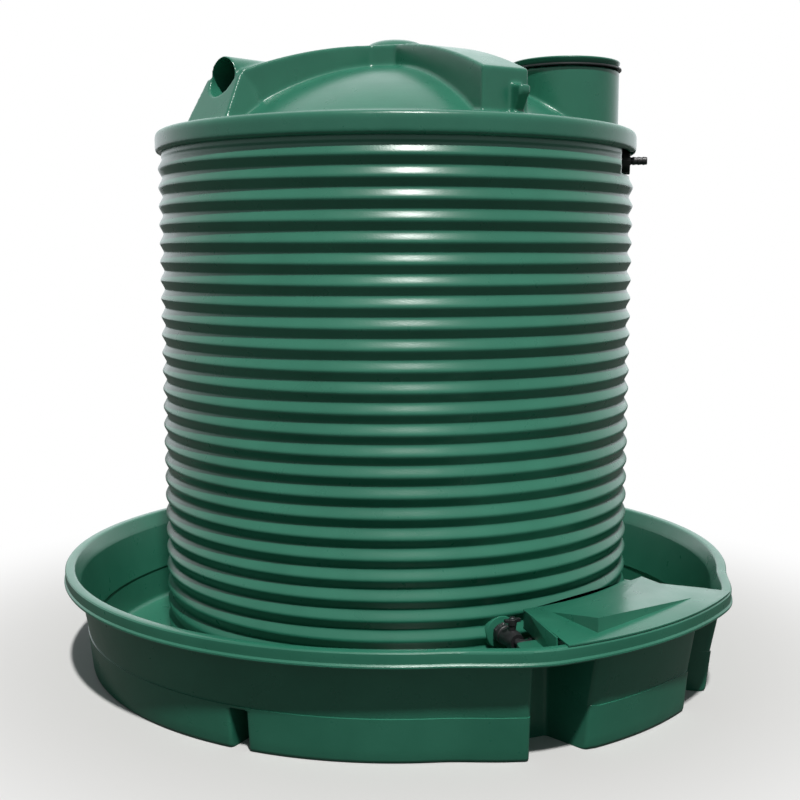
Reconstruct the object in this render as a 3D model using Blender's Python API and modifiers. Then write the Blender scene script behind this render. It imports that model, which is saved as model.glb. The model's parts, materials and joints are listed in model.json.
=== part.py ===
"""Stock tank: a corrugated polyethylene water tank that stands in a round drinking trough.

Metres, +Z up. The origin is the middle of the trough's underside, and the front of the object faces -Y.
Azimuths are in degrees from the front towards +X. Run it with blender --background --python part.py.
"""

import math

import bmesh
import bpy
from mathutils import Matrix, Vector

# The tank's radius, and the trough's sizes from it outwards
TANK_RADIUS = 0.915
CHANNEL_WIDTH = 0.337
WALL_TOP_RADIUS = TANK_RADIUS + CHANNEL_WIDTH
WALL_LEAN = 0.046
STEP_LEAN = 0.030
WALL_STEP_RADIUS = WALL_TOP_RADIUS - STEP_LEAN
WALL_STEP_HEIGHT = 0.150
GROUND_RADIUS = WALL_TOP_RADIUS - WALL_LEAN
TROUGH_SEGMENTS = 60
TROUGH_WALL = 0.010
FLOOR_TOP = 0.012
RIM_OVERHANG = 0.052
RIM_RADIUS = WALL_TOP_RADIUS + RIM_OVERHANG
RIM_TOP = 0.392
RIM_DEPTH = 0.056
RIM_LIP = 0.040
RIM_ROUND = 0.010

# The valve bay, where the trough bulges outwards
BAY_ROOT = TANK_RADIUS + 0.038
BAY_BULGE = 0.060
BAY_START = 6.0
BAY_END = 74.0
BAY_BLEND = 16.0

# The folds in the wall either side of the bay, and the small notches in the skirt
FOLD_AZIMUTHS = (24.0, 57.0)
FOLD_INNER_RADIUS = TANK_RADIUS + 0.185
FOLD_INNER_WIDTH = 0.100
FOLD_SPREAD = 0.684
FOLD_HEIGHT = RIM_TOP - 0.071
NOTCH_AZIMUTHS = (-24.4, 155.6)
NOTCH_WIDTH = 0.063
NOTCH_DEPTH = 0.110
NOTCH_HEIGHT = 0.140

# Tank
TANK_SEGMENTS = 36
TANK_WALL = 0.010
DOME_WALL = 0.014
RING_COUNT = 27
RING_PITCH = 0.0694
RING_DEPTH = 0.012
RING_CREST = 0.020
FIRST_VALLEY = 0.0391
BASE_ROUND = 0.012
LIP_OVERHANG = 0.009
LIP_RADIUS = TANK_RADIUS + LIP_OVERHANG
LIP_GAP = 0.0742
LIP_HEIGHT = 0.074
LIP_ROUND = 0.016
SHOULDER_RADIUS = TANK_RADIUS - 0.215
SHOULDER_RISE = 0.026
DOME_RISE = 0.230
DOME_STEPS = 7
EYE_RADIUS = 0.030
ROOF_SINK = 0.030

# Roof ribs, hub and the round boss on one rib
RIB_AZIMUTHS = (-60.0, 30.0)
BOSS_RIB = -60.0
RIB_WIDTH = 0.190
RIB_REACH = SHOULDER_RADIUS + 0.040
RIB_RISE = 0.075
RIB_SAG = 0.290
RIB_STEPS = 7
HUB_RADIUS = 0.120
HUB_RISE = 0.034
HUB_CORNER = 0.066
BOSS_AZIMUTH = -46.0
BOSS_RADIUS = 0.0700
BOSS_WALL = 0.005
BOSS_HEIGHT = 0.151
BOSS_FACE = SHOULDER_RADIUS + 0.006
BOSS_LENGTH = 0.226
BUTTRESS_TOP_REACH = BOSS_FACE + 0.009
BUTTRESS_FOOT_REACH = BOSS_FACE + 0.099
BUTTRESS_START = BOSS_FACE - 0.060
BUTTRESS_TOP_WIDTH = 0.200
BUTTRESS_FOOT_WIDTH = 0.250
LUG_AZIMUTHS = (30.0, -150.0)
LUG_OFFSET = 0.042
LUG_WIDTH = 0.043
LUG_REACH = 0.055
LUG_HEIGHT = 0.100

# Manway neck, lid and strainer
NECK_REACH = SHOULDER_RADIUS - 0.0435
NECK_RADIUS = 0.208
NECK_WALL = 0.010
NECK_RISE = 0.220
NECK_SEGMENTS = 40
STRAINER_FLANGE_RADIUS = NECK_RADIUS + 0.009
STRAINER_FLANGE = 0.008
STRAINER_TOP_RADIUS = NECK_RADIUS - NECK_WALL - 0.008
STRAINER_FOOT_RADIUS = STRAINER_TOP_RADIUS - 0.030
STRAINER_DEPTH = 0.150
STRAINER_WALL = 0.004
STRAINER_SLOTS = 7
STRAINER_SLOT_WIDTH = 0.016
LID_RADIUS = NECK_RADIUS + 0.003
LID_HEIGHT = 0.026
LID_ROUND = 0.005
LID_UNDERCUT = 0.008
LID_SKIRT = 0.008
LID_WALL = 0.005
LID_SPIGOT_DEPTH = 0.020

# Overflow fitting near the top of the wall
OVERFLOW_AZIMUTH = 80.0
OVERFLOW_DROP = 0.028
OVERFLOW_SEAT = TANK_RADIUS - 0.048
OVERFLOW_RECESS_WIDTH = 0.130
OVERFLOW_POCKET_DROP = 0.062
OVERFLOW_POCKET_RISE = 0.052
OVERFLOW_CURTAIN = LIP_RADIUS - 0.008
OVERFLOW_THREAD_RADIUS = 0.0155
OVERFLOW_FLANGE_RADIUS = 0.028
OVERFLOW_NUT_RADIUS = 0.0505
OVERFLOW_NUT_THICKNESS = 0.034
OVERFLOW_TAIL_RADIUS = 0.0135
OVERFLOW_TAIL_REACH = TANK_RADIUS + 0.050

# Outlet fitting, ball valve and pipe at the foot of the wall
OUTLET_AZIMUTH = 22.9
OUTLET_HEIGHT = RIM_TOP - 0.088
OUTLET_PAD_RADIUS = 0.056
OUTLET_PAD_FACE = TANK_RADIUS + 0.003
OUTLET_PAD_BACK = TANK_RADIUS - 0.031
OUTLET_THREAD_RADIUS = 0.0250
OUTLET_BORE_RADIUS = 0.0170
OUTLET_FLANGE_RADIUS = 0.0440
OUTLET_FLANGE = 0.010
GASKET_THICKNESS = 0.003
OUTLET_NUT_RADIUS = 0.0380
OUTLET_NUT_THICKNESS = 0.018
VALVE_START = OUTLET_PAD_FACE + OUTLET_NUT_THICKNESS + 0.0006
VALVE_SOCKET_DEPTH = 0.0200
VALVE_MIDDLE = VALVE_START + 0.0554
VALVE_END = VALVE_MIDDLE + 0.0380
VALVE_RADIUS = 0.0320
VALVE_HEX_RADIUS = 0.0345
BALL_RADIUS = 0.0235
BALL_CLEARANCE = 0.0012
STEM_RADIUS = 0.0060
STEM_TOP = 0.0760
BONNET_RADIUS = 0.0130
BONNET_TOP = 0.0440
HANDLE_HUB = 0.0150
HANDLE_THICKNESS = 0.0120
HANDLE_WIDTH = 0.0240
HANDLE_LENGTH = 0.0290
HANDLE_HEIGHT = 0.0560
ELBOW_RADIUS = 0.0145
ELBOW_BEND = 0.0240
PIPE_RADIUS = 0.0180
PIPE_START = 0.0300
PIPE_OVERLAP = 0.0160
UNION_RADIUS = 0.0250
UNION_LENGTH = 0.0310

# Float valve under the cover, on the line of the pipe
PIVOT_ALONG = 0.2055
PIVOT_DROP = 0.0260
FLOAT_BODY_RADIUS = 0.0170
FLOAT_BODY_START = -0.0600
FLOAT_BODY_END = 0.0120
FLOAT_FLANGE_RADIUS = 0.0220
FLOAT_FLANGE = 0.0080
FLOAT_TAIL_RADIUS = 0.0100
FLOAT_TAIL_START = -0.0980
LOCK_NUT_RADIUS = 0.0180
LOCK_NUT_THICKNESS = 0.0095
SEAT_FACE = -0.0350
SEAT_BORE = 0.0040
PLUNGER_RADIUS = 0.0105
PLUNGER_LENGTH = 0.0400
PLUNGER_TRAVEL = 0.0101
PLUNGER_SLOT = 0.0090
WASHER_RADIUS = 0.0078
WASHER_THICKNESS = 0.0030
TONGUE_THICKNESS = 0.0040
TONGUE_WIDTH = 0.0060
TONGUE_LENGTH = 0.0310
ARM_SWING = 22.0
ARM_REST = -12.0
ARM_RADIUS = 0.0040
ARM_LENGTH = 0.2090
HUB_BOSS_RADIUS = 0.0075
FLOAT_REACH = 0.2500
FLOAT_RADIUS = 0.0450
PIN_RADIUS = 0.0030
CHEEK_THICKNESS = 0.0050
CHEEK_REACH = 0.0100
BRACKET_PLATE = 0.0050
BRACKET_WIDTH = 0.0600
BRACKET_FOOT = 0.0560
BRACKET_RISE = 0.0300
BOLT_RADIUS = 0.0030
BOLT_HEAD_RADIUS = 0.0058
BOLT_HEAD = 0.0040
BOLT_DEPTH = 0.0080
BOLT_SPACING = 0.0340

# Cover over the bay
COVER_INNER_RADIUS = TANK_RADIUS + 0.070
COVER_OUTER_INSET = 0.006
COVER_INNER_AZIMUTHS = (25.5, 57.5)
COVER_OUTER_AZIMUTHS = (22.7, 60.0)
COVER_WALL = 0.006
COVER_SKIRT_GAP = 0.045
COVER_CREST = 0.048
COVER_TAIL_CREST = 0.032
COVER_CREST_AT = (RIM_RADIUS - 0.004, 29.1)
COVER_TAIL_AT = (COVER_INNER_RADIUS + 0.080, 55.5)
COVER_FACET_FOOT = (
    (COVER_INNER_RADIUS + 0.060, 29.3),
    (COVER_INNER_RADIUS + 0.015, 56.0),
    (COVER_INNER_RADIUS + 0.140, 57.4),
    (RIM_RADIUS - 0.029, 54.3),
)
COVER_ARC_STEPS = 9

# Drain through the foot of the wall
DRAIN_AZIMUTH = -135.0
DRAIN_HEIGHT = FLOOR_TOP + 0.056
DRAIN_PAD_RADIUS = 0.050
DRAIN_PAD_BACK = GROUND_RADIUS - 0.016
DRAIN_PAD_FACE = GROUND_RADIUS + 0.029
DRAIN_THREAD_RADIUS = 0.0210
DRAIN_BORE_RADIUS = 0.0165
DRAIN_FLANGE_RADIUS = 0.0340
DRAIN_FLANGE = 0.006
DRAIN_NUT_RADIUS = 0.0340
DRAIN_NUT_THICKNESS = 0.012
DRAIN_SEAL = 0.003
DRAIN_HEAD_RADIUS = 0.0250
DRAIN_HEAD = 0.012

# Clearances: touching faces keep TOUCH, and what slides or turns keeps SLIDE
TOUCH = 0.0003
SLIDE = 0.0006
MERGE = 0.00002

BRACKET_BACK = PIVOT_ALONG + FLOAT_BODY_START - TOUCH - BRACKET_PLATE

TANK_BASE = FLOOR_TOP + TOUCH
LIP_BOTTOM = TANK_BASE + FIRST_VALLEY + (RING_COUNT - 1) * RING_PITCH + RING_CREST + LIP_GAP
LIP_TOP = LIP_BOTTOM + LIP_HEIGHT
SHOULDER_TOP = LIP_TOP + SHOULDER_RISE
DOME_TOP = SHOULDER_TOP + DOME_RISE
NECK_TOP = SHOULDER_TOP + NECK_RISE
OVERFLOW_HEIGHT = LIP_BOTTOM - OVERFLOW_DROP
CAVITY_RADIUS = TANK_RADIUS - RING_DEPTH - TANK_WALL
COVER_UNDERSIDE = RIM_TOP + TOUCH
COVER_TOP = COVER_UNDERSIDE + COVER_WALL
RIB_TOP = DOME_TOP + RIB_RISE

for old in list(bpy.data.objects):
    bpy.data.objects.remove(old, do_unlink=True)

parts = bpy.data.collections.new("stock_tank")
helpers = bpy.data.collections.new("cutters")
bpy.context.scene.collection.children.link(parts)
bpy.context.scene.collection.children.link(helpers)


def material(name, colour, roughness, metallic=0.0):
    """A Principled BSDF in one colour."""
    made = bpy.data.materials.new(name)
    made.use_nodes = True
    shader = made.node_tree.nodes["Principled BSDF"]
    shader.inputs["Base Color"].default_value = (*colour, 1.0)
    shader.inputs["Roughness"].default_value = roughness
    shader.inputs["Metallic"].default_value = metallic
    made.diffuse_color = (*colour, 1.0)
    return made


GREEN = material("green_polyethylene", (0.035, 0.19, 0.13), 0.42)
BLACK = material("black_polypropylene", (0.016, 0.017, 0.018), 0.45)
RUBBER = material("black_rubber", (0.012, 0.012, 0.013), 0.8)
BRASS = material("brass", (0.62, 0.44, 0.20), 0.32, 1.0)
STEEL = material("stainless_steel", (0.55, 0.56, 0.57), 0.3, 1.0)
FLOAT_BLUE = material("float_plastic", (0.75, 0.76, 0.74), 0.45)


def radial(azimuth):
    """The horizontal unit vector that points outwards at this azimuth."""
    angle = math.radians(azimuth)
    return Vector((math.sin(angle), -math.cos(angle), 0.0))


def polar(radius, azimuth, height=0.0):
    return radial(azimuth) * radius + Vector((0.0, 0.0, height))


def add(name, mesh, look, frame=None):
    """A visible piece, or a helper where look is None. frame is its matrix_world."""
    piece = bpy.data.objects.new(name, mesh)
    (helpers if look is None else parts).objects.link(piece)
    if look is None:
        piece.hide_render = True
        piece.display_type = "WIRE"
    else:
        mesh.materials.append(look)
    if frame is not None:
        piece.matrix_world = frame
    return piece


def frame_at(origin, along, up=(0.0, 0.0, 1.0)):
    """The matrix whose Z runs along a direction and whose X is as near up as it can be."""
    z = Vector(along).normalized()
    x = (Vector(up) - z * z.dot(Vector(up))).normalized()
    y = z.cross(x)
    turn = Matrix((x, y, z)).transposed().to_4x4()
    return Matrix.Translation(Vector(origin)) @ turn


def evaluated(piece):
    """The piece's mesh with its modifiers applied."""
    bpy.context.view_layer.update()
    graph = bpy.context.evaluated_depsgraph_get()
    return bpy.data.meshes.new_from_object(piece.evaluated_get(graph))


def freeze(piece):
    """Applies every modifier of a mesh object."""
    mesh = evaluated(piece)
    piece.modifiers.clear()
    piece.data = mesh
    return piece


def turned(name, profile, look, steps, frame=None):
    """A profile of (radius, height) points turned round Z. It runs down its outer side, top to bottom."""
    closed = profile[0][0] > 0.0
    count = len(profile)
    mesh = bpy.data.meshes.new(name)
    ends = [(i, (i + 1) % count) for i in range(count if closed else count - 1)]
    mesh.from_pydata([(r, 0.0, z) for r, z in profile], ends, [])
    piece = add(name, mesh, look, frame)
    screw = piece.modifiers.new("Turn", "SCREW")
    screw.steps = steps
    screw.render_steps = steps
    screw.use_merge_vertices = True
    screw.merge_threshold = 0.00001
    return freeze(piece)


def tube(name, outer, inner, low, high, look, steps=24, frame=None):
    """A plain tube, or a plain rod where inner is 0."""
    if inner > 0.0:
        profile = [(inner, high), (outer, high), (outer, low), (inner, low)]
    else:
        profile = [(0.0, high), (outer, high), (outer, low), (0.0, low)]
    return turned(name, profile, look, steps, frame)


def block(name, low, high, look, frame=None):
    """A box between two corners."""
    mesh = bpy.data.meshes.new(name)
    shape = bmesh.new()
    bmesh.ops.create_cube(shape, size=1.0)
    for vertex in shape.verts:
        for axis in range(3):
            vertex.co[axis] = high[axis] if vertex.co[axis] > 0.0 else low[axis]
    shape.to_mesh(mesh)
    shape.free()
    return add(name, mesh, look, frame)


def hull(name, points, look, frame=None):
    """The convex solid round some points."""
    mesh = bpy.data.meshes.new(name)
    shape = bmesh.new()
    for point in points:
        shape.verts.new(point)
    made = bmesh.ops.convex_hull(shape, input=shape.verts)
    spare = [item for item in made["geom_interior"] if isinstance(item, bmesh.types.BMVert)]
    bmesh.ops.delete(shape, geom=spare, context="VERTS")
    bmesh.ops.recalc_face_normals(shape, faces=shape.faces)
    shape.to_mesh(mesh)
    shape.free()
    return add(name, mesh, look, frame)


def prism(name, outline, low, high, look, frame=None):
    """A flat outline of (x, y) points, anticlockwise from above, raised between two heights."""
    mesh = bpy.data.meshes.new(name)
    shape = bmesh.new()
    face = shape.faces.new([shape.verts.new((x, y, low)) for x, y in outline])
    raised = bmesh.ops.extrude_face_region(shape, geom=[face])["geom"]
    top = [item for item in raised if isinstance(item, bmesh.types.BMVert)]
    bmesh.ops.translate(shape, verts=top, vec=(0.0, 0.0, high - low))
    bmesh.ops.recalc_face_normals(shape, faces=shape.faces)
    shape.to_mesh(mesh)
    shape.free()
    return add(name, mesh, look, frame)


def hexagon(radius, sides=6):
    """Outline of a nut whose corners lie at this radius."""
    return [
        (radius * math.cos(math.tau * i / sides), radius * math.sin(math.tau * i / sides))
        for i in range(sides)
    ]


def boolean(piece, other, operation):
    """Applies one Boolean, then merges the crumbs that it leaves."""
    step = piece.modifiers.new(operation.title(), "BOOLEAN")
    step.operation = operation
    step.solver = "EXACT"
    step.object = other
    freeze(piece)
    shape = bmesh.new()
    shape.from_mesh(piece.data)
    bmesh.ops.remove_doubles(shape, verts=shape.verts, dist=MERGE)
    bmesh.ops.dissolve_degenerate(shape, dist=MERGE, edges=shape.edges)
    shape.to_mesh(piece.data)
    shape.free()


def join(piece, *others):
    for other in others:
        boolean(piece, other, "UNION")
    return piece


def cut(piece, *others):
    for other in others:
        boolean(piece, other, "DIFFERENCE")
    return piece


def smooth_step(value):
    value = min(max(value, 0.0), 1.0)
    return value * value * (3.0 - 2.0 * value)


def bay_bulge(azimuth):
    """How far the valve bay stands out of the round at an azimuth."""
    rise = smooth_step((azimuth - BAY_START) / BAY_BLEND)
    fall = smooth_step((BAY_END - azimuth) / BAY_BLEND)
    return BAY_BULGE * rise * fall


def push_bay_out(mesh):
    """Moves the trough's outer wall outwards over the valve bay, and leaves the middle round."""
    reach = WALL_STEP_RADIUS - TROUGH_WALL - BAY_ROOT
    for vertex in mesh.vertices:
        across = Vector((vertex.co.x, vertex.co.y))
        if across.length <= BAY_ROOT:
            continue
        azimuth = math.degrees(math.atan2(vertex.co.x, -vertex.co.y))
        share = min((across.length - BAY_ROOT) / reach, 1.0)
        moved = across * (1.0 + bay_bulge(azimuth) * share / across.length)
        vertex.co.x, vertex.co.y = moved


def wedge(name, azimuth, inner, low_outer, high_outer, widths, low, high):
    """A radial wedge that helps to form a fold or a notch. Its outer end may lean outwards."""
    turn = Matrix.Rotation(math.radians(azimuth - 90.0), 4, "Z")
    points = []
    for side in (-0.5, 0.5):
        for height, outer in ((low, low_outer), (high, high_outer)):
            points.append((inner, side * widths[0], height))
            across = side * widths[1]
            bulge = bay_bulge(azimuth + math.degrees(across / outer))
            points.append((math.sqrt((outer + bulge) ** 2 - across**2), across, height))
    return hull(name, points, None, turn)


def fold_in_wall(trough, name, azimuth, inner, width, spread, height):
    """A hollow fold: a wedge joined inside the wall, then a smaller wedge cut out from the front."""
    wall = TROUGH_WALL
    top = height + wall
    low_outer = GROUND_RADIUS - wall / 2
    high_outer = low_outer + (WALL_TOP_RADIUS - GROUND_RADIUS) * top / (RIM_TOP - RIM_DEPTH)
    widths = (width + 2 * wall, width + spread * (low_outer - inner) + 2 * wall)
    join(trough, wedge(name + "_skin", azimuth, inner - wall, low_outer, high_outer, widths, 0.001, top))
    beyond = RIM_RADIUS + 0.05
    widths = (width, width + spread * (beyond - inner))
    return wedge(name + "_hollow", azimuth, inner, beyond, beyond, widths, -0.01, height)


def trough_profile():
    """The trough's section, from the middle of its floor out to the rim and back below."""
    wall = TROUGH_WALL
    rim_low = RIM_TOP - RIM_DEPTH
    lip_inner = RIM_RADIUS - RIM_LIP
    return [
        (0.0, FLOOR_TOP),
        (GROUND_RADIUS - wall - 0.020, FLOOR_TOP),
        (GROUND_RADIUS - wall + 0.001, FLOOR_TOP + 0.018),
        (WALL_STEP_RADIUS - wall - 0.002, WALL_STEP_HEIGHT),
        (WALL_TOP_RADIUS - wall, rim_low),
        (lip_inner, RIM_TOP - 0.006),
        (lip_inner + 0.006, RIM_TOP),
        (RIM_RADIUS - RIM_ROUND, RIM_TOP),
        (RIM_RADIUS - 0.003, RIM_TOP - 0.007),
        (RIM_RADIUS - 0.003, rim_low + 0.016),
        (RIM_RADIUS, rim_low + 0.009),
        (RIM_RADIUS - 0.004, rim_low),
        (WALL_TOP_RADIUS, rim_low),
        (WALL_STEP_RADIUS - 0.004, WALL_STEP_HEIGHT + 0.006),
        (WALL_STEP_RADIUS, WALL_STEP_HEIGHT),
        (GROUND_RADIUS + 0.002, 0.014),
        (GROUND_RADIUS - 0.010, 0.0),
        (0.0, 0.0),
    ]


def make_trough():
    """The drinking trough: one thin-walled moulding with a flat floor that the tank stands on."""
    trough = turned("trough", trough_profile(), GREEN, TROUGH_SEGMENTS)
    push_bay_out(trough.data)
    hollows = []
    for i, azimuth in enumerate(FOLD_AZIMUTHS):
        fold = (azimuth, FOLD_INNER_RADIUS, FOLD_INNER_WIDTH, FOLD_SPREAD, FOLD_HEIGHT)
        hollows.append(fold_in_wall(trough, f"fold_{i}", *fold))
    for i, azimuth in enumerate(NOTCH_AZIMUTHS):
        notch = (azimuth, GROUND_RADIUS - NOTCH_DEPTH, NOTCH_WIDTH, 0.0, NOTCH_HEIGHT)
        hollows.append(fold_in_wall(trough, f"notch_{i}", *notch))
    pad, bore = drain_pad_and_bore()
    join(trough, pad)
    hollows.append(bore)
    cut(trough, *hollows)
    for i in range(2):
        across = bay_point(BRACKET_BACK + BRACKET_FOOT * 0.62, (i - 0.5) * BOLT_SPACING, 0.0)
        low = FLOOR_TOP - BOLT_DEPTH - 0.001
        hole = tube(
            f"bolt_hole_{i}", BOLT_RADIUS + TOUCH, 0.0, low, FLOOR_TOP + 0.01, None, 12,
            Matrix.Translation(across),
        )
        cut(trough, hole)
    return freeze(trough)


def tank_profile():
    """The tank's outer section: shoulder, lip, corrugations and base, from the axis down to the axis."""
    points = []
    radius = (SHOULDER_RADIUS**2 + DOME_RISE**2) / (2 * DOME_RISE)
    for i in range(DOME_STEPS):
        across = SHOULDER_RADIUS * i / DOME_STEPS
        drop = radius - math.sqrt(radius**2 - across**2)
        points.append((across, DOME_TOP - drop))
    points += [
        (SHOULDER_RADIUS, SHOULDER_TOP),
        (LIP_RADIUS - 0.030, LIP_TOP + 0.006),
        (LIP_RADIUS - LIP_ROUND / 2, LIP_TOP - 0.002),
        (LIP_RADIUS, LIP_TOP - LIP_ROUND),
        (LIP_RADIUS, LIP_BOTTOM),
        (TANK_RADIUS - RING_DEPTH, LIP_BOTTOM),
    ]
    valley = TANK_RADIUS - RING_DEPTH
    for i in reversed(range(RING_COUNT)):
        low = TANK_BASE + FIRST_VALLEY + i * RING_PITCH
        middle = low + RING_PITCH / 2
        points.append((TANK_RADIUS, middle + RING_CREST / 2))
        points.append((TANK_RADIUS, middle - RING_CREST / 2))
        points.append((valley, low))
    points += [
        (TANK_RADIUS, TANK_BASE + FIRST_VALLEY - (RING_PITCH - RING_CREST) / 2),
        (TANK_RADIUS, TANK_BASE + BASE_ROUND),
        (TANK_RADIUS - BASE_ROUND, TANK_BASE),
        (0.0, TANK_BASE),
    ]
    return points


def cavity_profile(lift=0.0):
    """The water space, plain inside the corrugations. A lift makes its roof stand that much higher."""
    radius = (SHOULDER_RADIUS**2 + DOME_RISE**2) / (2 * DOME_RISE)
    points = []
    for i in range(DOME_STEPS):
        across = SHOULDER_RADIUS * i / DOME_STEPS
        drop = radius - math.sqrt(radius**2 - across**2)
        points.append((across, DOME_TOP - drop - DOME_WALL + lift))
    return points + [
        (SHOULDER_RADIUS - TANK_WALL, SHOULDER_TOP - DOME_WALL + lift),
        (CAVITY_RADIUS, LIP_TOP - DOME_WALL + lift),
        (CAVITY_RADIUS, TANK_BASE + BASE_ROUND + TANK_WALL),
        (CAVITY_RADIUS - BASE_ROUND, TANK_BASE + TANK_WALL),
        (0.0, TANK_BASE + TANK_WALL),
    ]


def rib_height(along):
    """Height of a rib's flat top at a distance from the axis."""
    return RIB_TOP - RIB_SAG * along**2


def rib_frame(azimuth):
    """X along the rib, Y across it, Z up."""
    return Matrix.Rotation(math.radians(azimuth - 90.0), 4, "Z")


def make_ribs():
    """Four ribs in a cross, drawn as side outlines and extruded across their width."""
    ribs = []
    foot = SHOULDER_TOP - ROOF_SINK
    for i, azimuth in enumerate(RIB_AZIMUTHS):
        front = BUTTRESS_TOP_REACH - 0.02 if azimuth == BOSS_RIB else RIB_REACH
        outline = [(-RIB_REACH, foot), (0.0, SHOULDER_TOP + 0.12), (front, foot)]
        for k in range(RIB_STEPS, -RIB_STEPS - 1, -1):
            along = (front if k > 0 else RIB_REACH) * k / RIB_STEPS
            outline.append((along, rib_height(along)))
        turn = rib_frame(azimuth) @ Matrix.Rotation(math.pi / 2, 4, "X")
        ribs.append(prism(f"rib_{i}", outline, -RIB_WIDTH / 2, RIB_WIDTH / 2, None, turn))
    inside = 0.003
    corner = RIB_WIDTH / 2 + HUB_CORNER + inside
    half = RIB_WIDTH / 2 - inside
    outline = [
        (corner, -half), (corner, half), (half, corner), (-half, corner),
        (-corner, half), (-corner, -half), (-half, -corner), (half, -corner),
    ]
    low = DOME_TOP - 0.06
    top = rib_height(corner) - 0.001
    ribs.append(prism("rib_corners", outline, low, top, None, rib_frame(RIB_AZIMUTHS[0])))
    crown = [
        (0.0, RIB_TOP + HUB_RISE),
        (HUB_RADIUS * 0.62, RIB_TOP + HUB_RISE * 0.85),
        (HUB_RADIUS - 0.002, RIB_TOP + 0.001),
        (HUB_RADIUS - 0.002, RIB_TOP - 0.03),
        (0.0, RIB_TOP - 0.03),
    ]
    ribs.append(turned("hub_crown", crown, None, 26, Matrix.Rotation(0.1, 4, "Z")))
    return ribs


def make_boss():
    """The round boss that lies along one rib, on a flared buttress. Returns what joins and what cuts."""
    face = Matrix.Translation(polar(BOSS_FACE, BOSS_RIB))
    frame = face @ rib_frame(BOSS_AZIMUTH) @ Matrix.Translation((-BOSS_FACE, 0.0, 0.0))
    height = SHOULDER_TOP + BOSS_HEIGHT
    top = height + BOSS_RADIUS * 0.15
    low = SHOULDER_TOP - ROOF_SINK
    points = []
    for side in (-0.5, 0.5):
        points += [
            (BUTTRESS_START, side * BUTTRESS_TOP_WIDTH, top),
            (BUTTRESS_TOP_REACH, side * BUTTRESS_TOP_WIDTH, top),
            (BUTTRESS_START, side * BUTTRESS_FOOT_WIDTH, low),
            (BUTTRESS_FOOT_REACH, side * BUTTRESS_FOOT_WIDTH, low),
        ]
    buttress = hull("buttress", points, None, frame)
    lie = frame @ frame_at((0.0, 0.0, height), (1.0, 0.0, 0.0))
    inner_end = BOSS_FACE - BOSS_LENGTH
    round_boss = tube("boss", BOSS_RADIUS + BOSS_WALL, 0.0, inner_end, BOSS_FACE + 0.012, None, 28, lie)
    pocket = tube("boss_pocket", BOSS_RADIUS, 0.0, BOSS_FACE, BUTTRESS_FOOT_REACH + 0.1, None, 28, lie)
    return [buttress, round_boss], pocket


def make_lug(i, azimuth):
    """A lifting lug on the end of a rib."""
    low = SHOULDER_TOP - ROOF_SINK
    start = RIB_REACH - 0.010
    points = []
    for side in (-0.5, 0.5):
        across = LUG_OFFSET + side * LUG_WIDTH
        points += [
            (start, across, low),
            (start + 0.020, across, low),
            (RIB_REACH + LUG_REACH, across, low + LUG_HEIGHT * 0.65),
            (RIB_REACH + LUG_REACH, across, low + LUG_HEIGHT * 0.9),
            (start, across, low + LUG_HEIGHT),
        ]
    return hull(f"lug_{i}", points, None, rib_frame(azimuth))


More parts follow.
